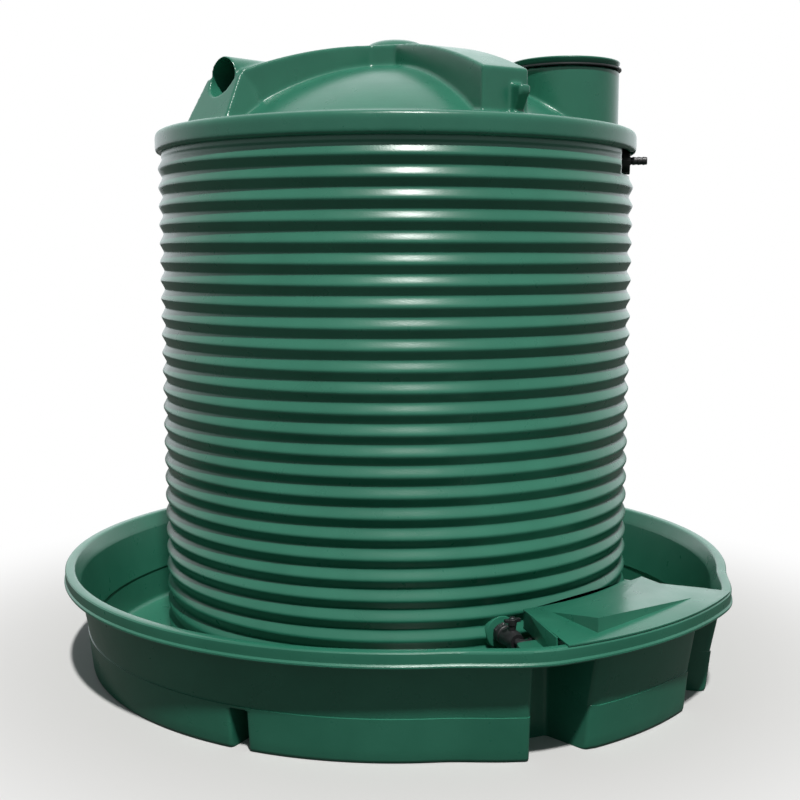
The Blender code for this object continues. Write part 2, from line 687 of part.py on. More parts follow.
def make_tank():
    """The tank: one hollow moulding with corrugated walls, a ribbed dome and a manway neck."""
    outside = [(radius, height) for radius, height in tank_profile() if radius > 0.0]
    inside = [(radius, height) for radius, height in cavity_profile() if radius > 0.0]
    ring = [(EYE_RADIUS, DOME_TOP), *outside, (EYE_RADIUS, TANK_BASE)]
    ring += [(EYE_RADIUS, TANK_BASE + TANK_WALL), *reversed(inside), (EYE_RADIUS, DOME_TOP - DOME_WALL)]
    tank = turned("tank_shell", ring, GREEN, TANK_SEGMENTS)
    eye_low = TANK_BASE + 0.002
    join(tank, tube("base_eye", 2 * EYE_RADIUS, 0.0, eye_low, TANK_BASE + TANK_WALL - 0.002, None, 12))
    core = turned("core", cavity_profile(DOME_WALL / 2), None, TANK_SEGMENTS)
    neck_at = Matrix.Translation((NECK_REACH, 0.0, 0.0))
    neck_low = SHOULDER_TOP - ROOF_SINK
    joins, pocket = make_boss()
    roof, *more = make_ribs()
    join(roof, *more, *joins)
    for i, azimuth in enumerate(LUG_AZIMUTHS):
        join(roof, make_lug(i, azimuth))
    join(roof, tube("neck", NECK_RADIUS, 0.0, neck_low, NECK_TOP, None, NECK_SEGMENTS, neck_at))
    cut(roof, pocket, core)
    join(tank, roof)
    overflow = overflow_frame()
    points = []
    for reach, within in ((OVERFLOW_SEAT - TANK_WALL, 0.002), (OVERFLOW_SEAT + 0.008, 0.006)):
        half = math.sqrt((CAVITY_RADIUS + within) ** 2 - reach**2)
        for across in (-half, half):
            points.append((-OVERFLOW_POCKET_DROP - TANK_WALL, across, reach))
            points.append((OVERFLOW_POCKET_RISE + TANK_WALL, across, reach))
    backing = hull("overflow_backing", points, None, overflow)
    under_lip = LIP_BOTTOM - OVERFLOW_HEIGHT
    pocket = block(
        "overflow_pocket",
        (-OVERFLOW_POCKET_DROP, -0.4 * TANK_RADIUS, OVERFLOW_SEAT),
        (under_lip, 0.4 * TANK_RADIUS, TANK_RADIUS + 0.1),
        None, overflow,
    )
    recess = block(
        "overflow_recess",
        (0.0, -OVERFLOW_RECESS_WIDTH / 2, OVERFLOW_SEAT),
        (OVERFLOW_POCKET_RISE, OVERFLOW_RECESS_WIDTH / 2, OVERFLOW_CURTAIN),
        None, overflow,
    )
    seat = tube(
        "overflow_bore", OVERFLOW_THREAD_RADIUS + TOUCH, 0.0, OVERFLOW_SEAT - 0.05, TANK_RADIUS + 0.1,
        None, 24, overflow,
    )
    join(tank, backing)
    cut(tank, pocket, recess, seat)
    outlet = outlet_frame()
    pad = tube("outlet_pad", OUTLET_PAD_RADIUS, 0.0, OUTLET_PAD_BACK, OUTLET_PAD_FACE, None, 28, outlet)
    bore = tube(
        "outlet_bore", OUTLET_THREAD_RADIUS + TOUCH, 0.0, OUTLET_PAD_BACK - 0.05, OUTLET_PAD_FACE + 0.05,
        None, 28, outlet,
    )
    join(tank, pad)
    cut(tank, bore)
    mouth = tube(
        "manway_bore", NECK_RADIUS - NECK_WALL, 0.0, neck_low - 0.15, NECK_TOP + 0.05,
        None, NECK_SEGMENTS, neck_at,
    )
    cut(tank, mouth)
    return freeze(tank)


def overflow_frame():
    """Z outwards along the overflow's bore, from the tank's axis."""
    return frame_at((0.0, 0.0, OVERFLOW_HEIGHT), radial(OVERFLOW_AZIMUTH))


def outlet_frame():
    """Z outwards along the outlet's bore, X up."""
    return frame_at((0.0, 0.0, OUTLET_HEIGHT), radial(OUTLET_AZIMUTH))


def make_manway():
    """The strainer that hangs in the neck by its flange, and the lid that sits on the flange."""
    at = Matrix.Translation((NECK_REACH, 0.0, 0.0))
    low = NECK_TOP + TOUCH
    top = low + STRAINER_FLANGE
    wall = STRAINER_WALL
    foot = low - STRAINER_DEPTH
    profile = [
        (0.0, foot + wall),
        (STRAINER_FOOT_RADIUS - wall, foot + wall),
        (STRAINER_TOP_RADIUS - wall, top),
        (STRAINER_FLANGE_RADIUS, top),
        (STRAINER_FLANGE_RADIUS, low),
        (STRAINER_TOP_RADIUS, low),
        (STRAINER_FOOT_RADIUS, foot),
        (0.0, foot),
    ]
    strainer = turned("manway_strainer", profile, BLACK, 32, at)
    span = 2 * STRAINER_FOOT_RADIUS * 0.86
    for i in range(STRAINER_SLOTS):
        across = span * ((i + 0.5) / STRAINER_SLOTS - 0.5)
        reach = math.sqrt((STRAINER_FOOT_RADIUS * 0.9) ** 2 - across**2)
        for side in (-1, 1):
            near, far = sorted((side * 0.012, side * reach))
            slot = block(
                f"strainer_slot_{i}_{side}",
                (near, across - STRAINER_SLOT_WIDTH / 2, foot - 0.01),
                (far, across + STRAINER_SLOT_WIDTH / 2, foot + wall + 0.01),
                None, at,
            )
            cut(strainer, slot)
    freeze(strainer)
    base = top + TOUCH
    spigot = STRAINER_TOP_RADIUS - wall - SLIDE - 0.007
    lid_profile = [
        (0.0, base + LID_HEIGHT),
        (LID_RADIUS - LID_ROUND, base + LID_HEIGHT),
        (LID_RADIUS, base + LID_HEIGHT - LID_ROUND),
        (LID_RADIUS - LID_UNDERCUT, base),
        (LID_RADIUS - LID_UNDERCUT - LID_SKIRT, base),
        (LID_RADIUS - LID_UNDERCUT - LID_SKIRT, base + LID_HEIGHT - LID_WALL),
        (spigot, base + LID_HEIGHT - LID_WALL),
        (spigot, base - LID_SPIGOT_DEPTH),
        (spigot - LID_WALL, base - LID_SPIGOT_DEPTH),
        (spigot - LID_WALL, base + LID_HEIGHT - LID_WALL),
        (0.0, base + LID_HEIGHT - LID_WALL),
    ]
    turned("manway_lid", lid_profile, GREEN, 40, at)


def ring_and_nut(prefix, look, frame, nut_radius, bore, start, thickness, sides=6):
    """A nut with its washer face at start, measured along the frame's Z."""
    nut = prism(prefix, hexagon(nut_radius, sides), start, start + thickness, look, frame)
    hole = tube(prefix + "_thread", bore, 0.0, start - 0.01, start + thickness + 0.01, None, 24, frame)
    return freeze(cut(nut, hole))


def make_overflow():
    """The overflow: a flanged tail through the wall from inside, its gasket, and the nut outside."""
    frame = overflow_frame()
    inner = OVERFLOW_SEAT - TANK_WALL - TOUCH
    thread = OVERFLOW_THREAD_RADIUS
    gasket_low = inner - GASKET_THICKNESS
    flange_face = gasket_low - TOUCH
    tail = OVERFLOW_TAIL_RADIUS
    bore = tail - 0.0035
    profile = [(bore, OVERFLOW_TAIL_REACH), (tail, OVERFLOW_TAIL_REACH)]
    nut_end = OVERFLOW_SEAT + TOUCH + OVERFLOW_NUT_THICKNESS
    barbs = 3
    length = (OVERFLOW_TAIL_REACH - nut_end - 0.004) / barbs
    for i in range(barbs):
        high = OVERFLOW_TAIL_REACH - i * length
        profile.append((tail + 0.0022, high - length * 0.75))
        profile.append((tail, high - length * 0.85))
    profile += [
        (thread, nut_end + 0.002),
        (thread, flange_face),
        (OVERFLOW_FLANGE_RADIUS, flange_face),
        (OVERFLOW_FLANGE_RADIUS, flange_face - 0.006),
        (bore, flange_face - 0.006),
    ]
    turned("overflow_tail", profile, BLACK, 20, frame)
    tube("overflow_gasket", OVERFLOW_FLANGE_RADIUS, thread + TOUCH, gasket_low, inner, RUBBER, 20, frame)
    start = OVERFLOW_SEAT + TOUCH
    ring_and_nut(
        "overflow_nut", BLACK, frame, OVERFLOW_NUT_RADIUS, thread + TOUCH, start, OVERFLOW_NUT_THICKNESS, 12,
    )


def make_outlet():
    """The tank outlet: flanged body from inside, gasket and nut."""
    frame = outlet_frame()
    gasket_high = OUTLET_PAD_BACK - TOUCH
    gasket_low = gasket_high - GASKET_THICKNESS
    face = gasket_low - TOUCH
    end = VALVE_START + VALVE_SOCKET_DEPTH - TOUCH
    profile = [
        (OUTLET_BORE_RADIUS, end),
        (OUTLET_THREAD_RADIUS, end),
        (OUTLET_THREAD_RADIUS, face),
        (OUTLET_FLANGE_RADIUS, face),
        (OUTLET_FLANGE_RADIUS, face - OUTLET_FLANGE),
        (OUTLET_BORE_RADIUS, face - OUTLET_FLANGE),
    ]
    turned("outlet_body", profile, BLACK, 28, frame)
    tube(
        "outlet_gasket", OUTLET_FLANGE_RADIUS, OUTLET_THREAD_RADIUS + TOUCH, gasket_low, gasket_high,
        RUBBER, 28, frame,
    )
    ring_and_nut(
        "outlet_nut", BLACK, frame, OUTLET_NUT_RADIUS, OUTLET_THREAD_RADIUS + TOUCH,
        OUTLET_PAD_FACE + TOUCH, OUTLET_NUT_THICKNESS,
    )


def make_ball_valve():
    """The isolating ball valve: body, ball, stem and lever. The ball and stem turn with the lever."""
    frame = outlet_frame()
    pocket = BALL_RADIUS + BALL_CLEARANCE
    socket_end = VALVE_START + VALVE_SOCKET_DEPTH
    spigot_start = VALVE_END - VALVE_SOCKET_DEPTH * 0.7
    throat = 0.0150
    reach = math.sqrt(pocket**2 - throat**2)
    inner = [(throat, VALVE_MIDDLE + reach)]
    for i in range(1, 8):
        angle = math.pi * i / 8
        height = reach * math.cos(angle)
        inner.append((math.sqrt(pocket**2 - height**2), VALVE_MIDDLE + height))
    inner.append((throat, VALVE_MIDDLE - reach))
    profile = [
        (ELBOW_RADIUS + TOUCH, VALVE_END),
        (VALVE_RADIUS - 0.006, VALVE_END),
        (VALVE_RADIUS - 0.006, VALVE_END - 0.010),
        (VALVE_RADIUS, VALVE_MIDDLE + 0.012),
        (VALVE_RADIUS, socket_end - 0.002),
        (VALVE_HEX_RADIUS, socket_end - 0.004),
        (VALVE_HEX_RADIUS, VALVE_START),
        (OUTLET_THREAD_RADIUS + TOUCH, VALVE_START),
        (OUTLET_THREAD_RADIUS + TOUCH, socket_end),
        (throat, socket_end),
        *reversed(inner),
        (throat, spigot_start),
        (ELBOW_RADIUS + TOUCH, spigot_start),
    ]
    body = turned("valve_body", profile, BLACK, 24, frame)
    upright = frame_at(polar(VALVE_MIDDLE, OUTLET_AZIMUTH, OUTLET_HEIGHT), (0, 0, 1), radial(OUTLET_AZIMUTH))
    bonnet_low = pocket + 0.003
    join(body, tube("bonnet", BONNET_RADIUS, 0.0, bonnet_low, BONNET_TOP, None, 20, upright))
    cut(body, tube("stem_bore", STEM_RADIUS + SLIDE, 0.0, 0.0, BONNET_TOP + 0.01, None, 20, upright))
    freeze(body)

    mesh = bpy.data.meshes.new("valve_ball")
    shape = bmesh.new()
    bmesh.ops.create_uvsphere(shape, u_segments=20, v_segments=12, radius=BALL_RADIUS)
    shape.to_mesh(mesh)
    shape.free()
    ball = add("valve_ball", mesh, STEEL, upright)
    through = upright @ frame_at((0, 0, 0), (0, 1, 0))
    cut(ball, tube("ball_bore", throat - 0.001, 0.0, -0.04, 0.04, None, 20, through))
    flat = BALL_RADIUS - 0.003
    cut(ball, block("ball_flat", (-0.03, -0.03, flat), (0.03, 0.03, 0.04), None, upright))
    freeze(ball)

    tube("valve_stem", STEM_RADIUS, 0.0, flat + TOUCH, STEM_TOP, BLACK, 16, upright)
    low = HANDLE_HEIGHT
    high = low + HANDLE_THICKNESS
    handle = tube("valve_handle", HANDLE_HUB, 0.0, BONNET_TOP + 0.003, high + 0.001, BLACK, 20, upright)
    for side in (-1, 1):
        points = []
        for across, half, lift in ((0.004, 0.010, 0.0), (HANDLE_LENGTH, HANDLE_WIDTH / 2, 0.002)):
            for x in (-half * 0.6, half * 0.6):
                points += [(x, side * across, low + lift), (x, side * across, high + lift)]
        join(handle, hull(f"handle_wing_{side}", points, None, upright))
    cut(handle, tube("handle_bore", STEM_RADIUS + TOUCH, 0.0, 0.0, high + 0.01, None, 16, upright))
    ring_and_nut("handle_nut", STEEL, upright, 0.0110, STEM_RADIUS + TOUCH, high + 0.001 + TOUCH, 0.005)


def bay_frame():
    """The float valve's own frame: X along the pipe, Y across it towards the tank, Z up."""
    along = radial(OUTLET_AZIMUTH + 90.0)
    across = Vector((0.0, 0.0, 1.0)).cross(along)
    turn = Matrix((along, across, Vector((0.0, 0.0, 1.0)))).transposed().to_4x4()
    start = polar(VALVE_END + ELBOW_BEND, OUTLET_AZIMUTH, OUTLET_HEIGHT)
    return Matrix.Translation(start) @ turn


def bay_point(along, across, height):
    """World place of a point on the pipe's line, at a height above the ground."""
    point = bay_frame() @ Vector((along, across, 0.0))
    return Vector((point.x, point.y, height))


def bent_rod(name, points, radius, look, frame):
    """A round rod along a list of points, as a mesh."""
    curve = bpy.data.curves.new(name + "_line", "CURVE")
    curve.dimensions = "3D"
    curve.bevel_depth = radius
    curve.bevel_resolution = 3
    curve.use_fill_caps = True
    line = curve.splines.new("POLY")
    line.points.add(len(points) - 1)
    for place, point in zip(line.points, points):
        place.co = (*point, 1.0)
    holder = bpy.data.objects.new(name + "_curve", curve)
    helpers.objects.link(holder)
    mesh = evaluated(holder)
    bpy.data.objects.remove(holder)
    mesh.materials.clear()
    shape = bmesh.new()
    shape.from_mesh(mesh)
    bmesh.ops.remove_doubles(shape, verts=shape.verts, dist=0.00001)
    bmesh.ops.recalc_face_normals(shape, faces=shape.faces)
    shape.to_mesh(mesh)
    shape.free()
    return add(name, mesh, look, frame)


def make_pipe():
    """The elbow out of the ball valve, the pipe pushed over it, and the union nut at the far end."""
    frame = bay_frame()
    spigot = -ELBOW_BEND - VALVE_SOCKET_DEPTH * 0.7 + TOUCH
    points = [(0.0, -spigot, 0.0)]
    bends = 6
    for i in range(bends + 1):
        angle = math.pi / 2 * i / bends
        along = ELBOW_BEND * (1 - math.cos(angle))
        points.append((along, ELBOW_BEND * (1 - math.sin(angle)), 0.0))
    points.append((PIPE_START + PIPE_OVERLAP, 0.0, 0.0))
    bent_rod("pipe_elbow", points, ELBOW_RADIUS, BLACK, frame)
    along = frame @ frame_at((0, 0, 0), (1, 0, 0))
    tail = PIVOT_ALONG + FLOAT_TAIL_START
    pipe_end = tail - TOUCH
    tube("supply_pipe", PIPE_RADIUS, ELBOW_RADIUS + TOUCH, PIPE_START, pipe_end, BLACK, 20, along)
    low = pipe_end - UNION_LENGTH * 0.6
    high = low + UNION_LENGTH
    union = prism("union_nut", hexagon(UNION_RADIUS, 8), low, high, BLACK, along)
    wide = tube("union_socket", PIPE_RADIUS + TOUCH, 0.0, low - 0.01, pipe_end, None, 20, along)
    narrow = tube("union_thread", FLOAT_TAIL_RADIUS + TOUCH, 0.0, low, high + 0.01, None, 16, along)
    freeze(cut(union, wide, narrow))


def valve_frame():
    """X along the float valve's bore towards the float, Z up, from the bore's axis over the pivot."""
    return bay_frame() @ Matrix.Translation((PIVOT_ALONG, 0.0, 0.0))


def make_bracket():
    """The bracket that stands on the trough's floor and holds the float valve, with its bolts."""
    frame = bay_frame()
    drop = FLOOR_TOP - OUTLET_HEIGHT + TOUCH
    half = BRACKET_WIDTH / 2
    back = BRACKET_BACK
    plate = block(
        "valve_bracket", (back, -half, drop), (back + BRACKET_PLATE, half, BRACKET_RISE), STEEL, frame,
    )
    foot_high = drop + BRACKET_PLATE
    join(plate, block("bracket_foot", (back, -half, drop), (back + BRACKET_FOOT, half, foot_high), None, frame))
    along = frame @ frame_at((0, 0, 0), (1, 0, 0))
    cut(plate, tube("bracket_hole", FLOAT_TAIL_RADIUS + TOUCH, 0.0, back - 0.01, back + 0.02, None, 16, along))
    for i in range(2):
        at = bay_point(back + BRACKET_FOOT * 0.62, (i - 0.5) * BOLT_SPACING, 0.0)
        stand = Matrix.Translation(at)
        top = FLOOR_TOP + TOUCH + BRACKET_PLATE
        hole = tube(f"foot_hole_{i}", BOLT_RADIUS + TOUCH, 0.0, FLOOR_TOP - 0.01, top + 0.01, None, 12, stand)
        cut(plate, hole)
        shank_low = FLOOR_TOP - BOLT_DEPTH
        profile = [
            (0.0, top + TOUCH + BOLT_HEAD),
            (BOLT_HEAD_RADIUS, top + TOUCH + BOLT_HEAD),
            (BOLT_HEAD_RADIUS, top + TOUCH),
            (BOLT_RADIUS, top + TOUCH),
            (BOLT_RADIUS, shank_low),
            (0.0, shank_low),
        ]
        turned(f"bracket_bolt_{i + 1}", profile, STEEL, 12, stand)
    freeze(plate)


def make_float_valve():
    """Body, plunger, washer, lever arm, pivot pin, lock nut and float."""
    frame = valve_frame()
    lie = frame @ frame_at((0, 0, 0), (1, 0, 0))
    flange_end = FLOAT_BODY_START + FLOAT_FLANGE
    bore = PLUNGER_RADIUS + SLIDE
    body_profile = [
        (bore, FLOAT_BODY_END),
        (FLOAT_BODY_RADIUS, FLOAT_BODY_END),
        (FLOAT_BODY_RADIUS, flange_end),
        (FLOAT_FLANGE_RADIUS, flange_end),
        (FLOAT_FLANGE_RADIUS, FLOAT_BODY_START),
        (FLOAT_TAIL_RADIUS, FLOAT_BODY_START),
        (FLOAT_TAIL_RADIUS, FLOAT_TAIL_START),
        (SEAT_BORE, FLOAT_TAIL_START),
        (SEAT_BORE, SEAT_FACE),
        (bore, SEAT_FACE),
    ]
    body = turned("float_valve_body", body_profile, BRASS, 20, lie)
    gap = TONGUE_WIDTH / 2 + 0.0015
    for side in (-1, 1):
        near, far = sorted((side * gap, side * (gap + CHEEK_THICKNESS)))
        low = (-CHEEK_REACH, near, -PIVOT_DROP - CHEEK_REACH)
        high = (CHEEK_REACH, far, -(bore + FLOAT_BODY_RADIUS) / 2 - 0.0005)
        join(body, block(f"cheek_{side}", low, high, None, frame))
    spout_at = frame @ Matrix.Translation((SEAT_FACE + SEAT_BORE, 0.0, 0.0))
    cut(body, tube("spout", SEAT_BORE * 0.9, 0.0, -FLOAT_FLANGE_RADIUS, 0.0, None, 12, spout_at))
    slot_low = (-CHEEK_REACH - 0.0015, -gap + 0.0003, -PIVOT_DROP - CHEEK_REACH - 0.01)
    cut(body, block("tongue_slot", slot_low, (FLOAT_BODY_END + 0.01, gap - 0.0003, 0.0), None, frame))
    across = frame @ Matrix.Translation((0.0, 0.0, -PIVOT_DROP)) @ frame_at((0, 0, 0), (0, 1, 0))
    cut(body, tube("pin_bore", PIN_RADIUS + TOUCH, 0.0, -0.03, 0.03, None, 16, across))
    freeze(body)

    washer_start = SEAT_FACE + PLUNGER_TRAVEL + 0.0005
    washer_end = washer_start + WASHER_THICKNESS
    tube("plunger_washer", WASHER_RADIUS, 0.0, washer_start, washer_end, RUBBER, 16, lie)
    start = washer_end + TOUCH
    plunger = tube("valve_plunger", PLUNGER_RADIUS, 0.0, start, start + PLUNGER_LENGTH, BRASS, 20, lie)
    middle = PLUNGER_TRAVEL / 2
    half = PLUNGER_SLOT / 2
    slot_top = TONGUE_LENGTH - PIVOT_DROP + 0.003
    slot_low = (middle - half, -gap + 0.0003, -0.02)
    cut(plunger, block("plunger_slot", slot_low, (middle + half, gap - 0.0003, slot_top), None, frame))
    freeze(plunger)

    outer = gap + CHEEK_THICKNESS
    pin_profile = [
        (0.0, outer + 0.002),
        (PIN_RADIUS, outer + 0.002),
        (PIN_RADIUS, -outer - TOUCH),
        (PIN_RADIUS * 1.6, -outer - TOUCH),
        (PIN_RADIUS * 1.6, -outer - 0.002),
        (0.0, -outer - 0.002),
    ]
    turned("pivot_pin", pin_profile, STEEL, 16, across)

    rest_tilt = Matrix.Rotation(math.radians(-ARM_REST), 4, "Y")
    hang = frame @ Matrix.Translation((0.0, 0.0, -PIVOT_DROP)) @ rest_tilt
    swing = hang @ frame_at((0, 0, 0), (0, 1, 0))
    reach = hang @ frame_at((0, 0, 0), (1, 0, 0))
    wide = TONGUE_WIDTH / 2
    arm = tube("float_arm", HUB_BOSS_RADIUS, 0.0, -wide, wide, BRASS, 20, swing)
    join(arm, tube("arm_rod", ARM_RADIUS, 0.0, HUB_BOSS_RADIUS * 0.6, ARM_LENGTH, None, 12, reach))
    middle_angle = ARM_REST + ARM_SWING / 2
    lean = hang @ Matrix.Rotation(math.radians(middle_angle), 4, "Y")
    thick = TONGUE_THICKNESS / 2
    join(arm, block("arm_tongue", (-thick, -wide, 0.0), (thick, wide, TONGUE_LENGTH), None, lean))
    cut(arm, tube("arm_bore", PIN_RADIUS + TOUCH, 0.0, -0.03, 0.03, None, 16, swing))
    freeze(arm)

    mesh = bpy.data.meshes.new("float_ball")
    shape = bmesh.new()
    along_arm = Matrix.Translation((0.0, 0.0, FLOAT_REACH))
    bmesh.ops.create_uvsphere(shape, u_segments=20, v_segments=12, radius=FLOAT_RADIUS, matrix=along_arm)
    shape.to_mesh(mesh)
    shape.free()
    ball = add("float_ball", mesh, FLOAT_BLUE, reach)
    neck_start = FLOAT_REACH - FLOAT_RADIUS - 0.009
    join(ball, tube("float_neck", 0.010, 0.0, neck_start, FLOAT_REACH - FLOAT_RADIUS * 0.8, None, 16, reach))
    socket_end = ARM_LENGTH + 0.003
    cut(ball, tube("float_socket", ARM_RADIUS + TOUCH, 0.0, neck_start - 0.01, socket_end, None, 12, reach))
    freeze(ball)

    nut_start = FLOAT_BODY_START - 2 * TOUCH - BRACKET_PLATE - LOCK_NUT_THICKNESS
    ring_and_nut(
        "lock_nut", BRASS, lie, LOCK_NUT_RADIUS, FLOAT_TAIL_RADIUS + TOUCH, nut_start, LOCK_NUT_THICKNESS,
    )


def cover_edge(azimuth):
    """Radius of the cover's outer edge, which follows the rim round the bay."""
    return RIM_RADIUS - COVER_OUTER_INSET + bay_bulge(azimuth)


def cover_outline(inset):
    """The cover's plan, drawn in by an inset from its two ends and its arcs."""
    turn = math.degrees(inset / COVER_INNER_RADIUS)
    outer_turn = math.degrees(inset / (RIM_RADIUS + BAY_BULGE))
    outline = []
    first, last = COVER_OUTER_AZIMUTHS[0] + outer_turn, COVER_OUTER_AZIMUTHS[1] - outer_turn
    for i in range(COVER_ARC_STEPS + 1):
        azimuth = first + (last - first) * i / COVER_ARC_STEPS
        outline.append(polar(cover_edge(azimuth) - inset, azimuth).xy)
    first, last = COVER_INNER_AZIMUTHS[1] - turn, COVER_INNER_AZIMUTHS[0] + turn
    for i in range(COVER_ARC_STEPS + 1):
        azimuth = first + (last - first) * i / COVER_ARC_STEPS
        outline.append(polar(COVER_INNER_RADIUS + inset, azimuth).xy)
    return outline


def make_cover():
    """The lift-off cover: a flat flange on the rim, side skirts that stand on the folds, and a raised ridge."""
    cover = prism("valve_cover", cover_outline(0.0), COVER_UNDERSIDE, COVER_TOP, GREEN)
    skirt_low = FOLD_HEIGHT + TROUGH_WALL + TOUCH
    rim_inner = RIM_RADIUS - RIM_LIP
    for i in range(2):
        inner_azimuth = COVER_INNER_AZIMUTHS[i]
        outer_azimuth = COVER_OUTER_AZIMUTHS[i]
        side = 1 - 2 * i
        corners = []
        for radius, azimuth in ((COVER_INNER_RADIUS, inner_azimuth), (rim_inner, outer_azimuth)):
            if radius == rim_inner:
                radius += bay_bulge(azimuth) - COVER_SKIRT_GAP
            corners.append((radius, azimuth))
        points = []
        for radius, azimuth in corners:
            for offset in (0.002, 0.002 + COVER_WALL):
                turn = side * math.degrees(offset / radius)
                for height in (skirt_low, COVER_TOP - 0.001):
                    points.append(polar(radius, azimuth + turn, height))
        join(cover, hull(f"cover_skirt_{i}", points, None))
    low = COVER_TOP - 0.002
    points = [polar(radius, azimuth, low) for radius, azimuth in COVER_FACET_FOOT]
    points.append(polar(*COVER_CREST_AT, low))
    points.append(polar(*COVER_CREST_AT, COVER_TOP + COVER_CREST))
    points.append(polar(*COVER_TAIL_AT, COVER_TOP + COVER_TAIL_CREST))
    points.append(polar(*COVER_TAIL_AT, low))
    ridge = hull("cover_ridge", points, None)
    join(cover, ridge)
    middle = sum((point for point in points), Vector()) / len(points)
    middle.z = COVER_UNDERSIDE
    hollow_points = []
    for point in points:
        inner = middle + (point - middle) * 0.90
        inner.z = COVER_UNDERSIDE - 0.01 if point.z <= low else point.z - 1.6 * COVER_WALL
        hollow_points.append(inner)
    cut(cover, hull("cover_hollow", hollow_points, None))
    freeze(cover)


def drain_frame():
    return frame_at((0.0, 0.0, DRAIN_HEIGHT), radial(DRAIN_AZIMUTH))


def make_drain():
    """The drain: a flanged bush through the wall, its nut inside, and a plug with a seal."""
    frame = drain_frame()
    face = DRAIN_PAD_FACE + TOUCH
    flange_end = face + DRAIN_FLANGE
    bush_start = DRAIN_PAD_BACK - DRAIN_NUT_THICKNESS
    profile = [
        (DRAIN_BORE_RADIUS, flange_end),
        (DRAIN_FLANGE_RADIUS, flange_end),
        (DRAIN_FLANGE_RADIUS, face),
        (DRAIN_THREAD_RADIUS, face),
        (DRAIN_THREAD_RADIUS, bush_start),
        (DRAIN_BORE_RADIUS, bush_start),
    ]
    turned("drain_bush", profile, BLACK, 24, frame)
    ring_and_nut(
        "drain_nut", BLACK, frame, DRAIN_NUT_RADIUS, DRAIN_THREAD_RADIUS + TOUCH,
        DRAIN_PAD_BACK - TOUCH - DRAIN_NUT_THICKNESS, DRAIN_NUT_THICKNESS,
    )
    seal_low = flange_end + TOUCH
    seal_high = seal_low + DRAIN_SEAL
    shank = DRAIN_BORE_RADIUS - SLIDE
    tube("drain_seal", DRAIN_HEAD_RADIUS - 0.001, shank + TOUCH, seal_low, seal_high, RUBBER, 24, frame)
    head_low = seal_high + TOUCH
    plug = tube("drain_plug", shank, 0.0, DRAIN_PAD_BACK, head_low + 0.002, BLACK, 24, frame)
    join(plug, prism("plug_head", hexagon(DRAIN_HEAD_RADIUS), head_low, head_low + DRAIN_HEAD, None, frame))
    freeze(plug)


def drain_pad_and_bore():
    """The flat pad in the trough's wall round the drain, and the hole through it."""
    frame = drain_frame()
    pad = tube("drain_pad", DRAIN_PAD_RADIUS, 0.0, DRAIN_PAD_BACK, DRAIN_PAD_FACE, None, 24, frame)
    bore = tube("drain_bore", DRAIN_THREAD_RADIUS + TOUCH, 0.0, 1.0, 1.5, None, 24, frame)
    return pad, bore


make_trough()
make_tank()
make_manway()
make_overflow()
make_outlet()
make_ball_valve()
make_pipe()
make_bracket()
make_float_valve()
make_cover()
make_drain()

for piece in parts.objects:
    piece.data.shade_smooth()
    piece.data.set_sharp_from_angle(angle=math.radians(35.0))
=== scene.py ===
import json
import math
from collections import namedtuple

import bmesh
import bpy
from mathutils import Matrix, Vector


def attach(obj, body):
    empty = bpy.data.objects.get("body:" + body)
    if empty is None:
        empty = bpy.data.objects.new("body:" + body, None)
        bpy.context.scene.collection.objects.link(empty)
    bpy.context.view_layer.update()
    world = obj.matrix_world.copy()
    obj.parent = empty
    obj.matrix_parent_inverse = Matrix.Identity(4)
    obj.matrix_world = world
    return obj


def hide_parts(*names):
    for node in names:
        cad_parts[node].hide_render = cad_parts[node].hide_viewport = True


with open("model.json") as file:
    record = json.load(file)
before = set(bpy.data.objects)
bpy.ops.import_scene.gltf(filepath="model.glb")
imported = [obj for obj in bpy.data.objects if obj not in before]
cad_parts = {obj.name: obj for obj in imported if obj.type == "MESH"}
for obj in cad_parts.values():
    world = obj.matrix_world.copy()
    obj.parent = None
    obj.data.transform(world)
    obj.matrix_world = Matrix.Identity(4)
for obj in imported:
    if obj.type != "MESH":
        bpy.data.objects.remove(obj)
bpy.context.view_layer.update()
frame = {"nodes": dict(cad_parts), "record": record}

# %% [markdown]
# # A stock tank: a corrugated water tank in a round drinking trough
#
# The real thing is two large mouldings in green polyethylene. The tank stands in the middle of a low round
# trough, and a float valve under a loose cover lets its water down to the animals.
# Everything here is in metres, with Z up, and azimuths are in degrees from the front (-Y) towards +X.

# %% [markdown]
# ## Helpers for round things
#
# Nearly every piece of a tank is round, so a place is easier to say as a radius, an azimuth and a height.
# A solid of revolution could come from Blender's Screw modifier. Here the rings are written out point by point,
# because some of them are bent out of round later, and that is simple only with the points at hand.

# %% Polar places
def radial(azimuth):
    """The level direction at an azimuth."""
    angle = math.radians(azimuth)
    return Vector((math.sin(angle), -math.cos(angle), 0.0))


def polar(radius, azimuth, height=0.0):
    return radial(azimuth) * radius + Vector((0.0, 0.0, height))


def frame_at(origin, along, up=(0.0, 0.0, 1.0)):
    """The matrix whose Z runs along a direction and whose X is as near up as it can be."""
    z = Vector(along).normalized()
    x = (Vector(up) - z * z.dot(Vector(up))).normalized()
    turn = Matrix((x, z.cross(x), z)).transposed().to_4x4()
    return Matrix.Translation(Vector(origin)) @ turn


def smooth_step(value):
    """Rises from 0 to 1 as the value does, slowly at both ends."""
    value = min(max(value, 0.0), 1.0)
    return value * value * (3.0 - 2.0 * value)


def evenly(start, end, steps):
    """Evenly spaced values from start to end, both included."""
    return [start + (end - start) * k / steps for k in range(steps + 1)]


print("front of the object:", tuple(radial(0.0)))

# %% Meshes from lists of points
SAME_PLACE = 0.000002  # points closer than this become one


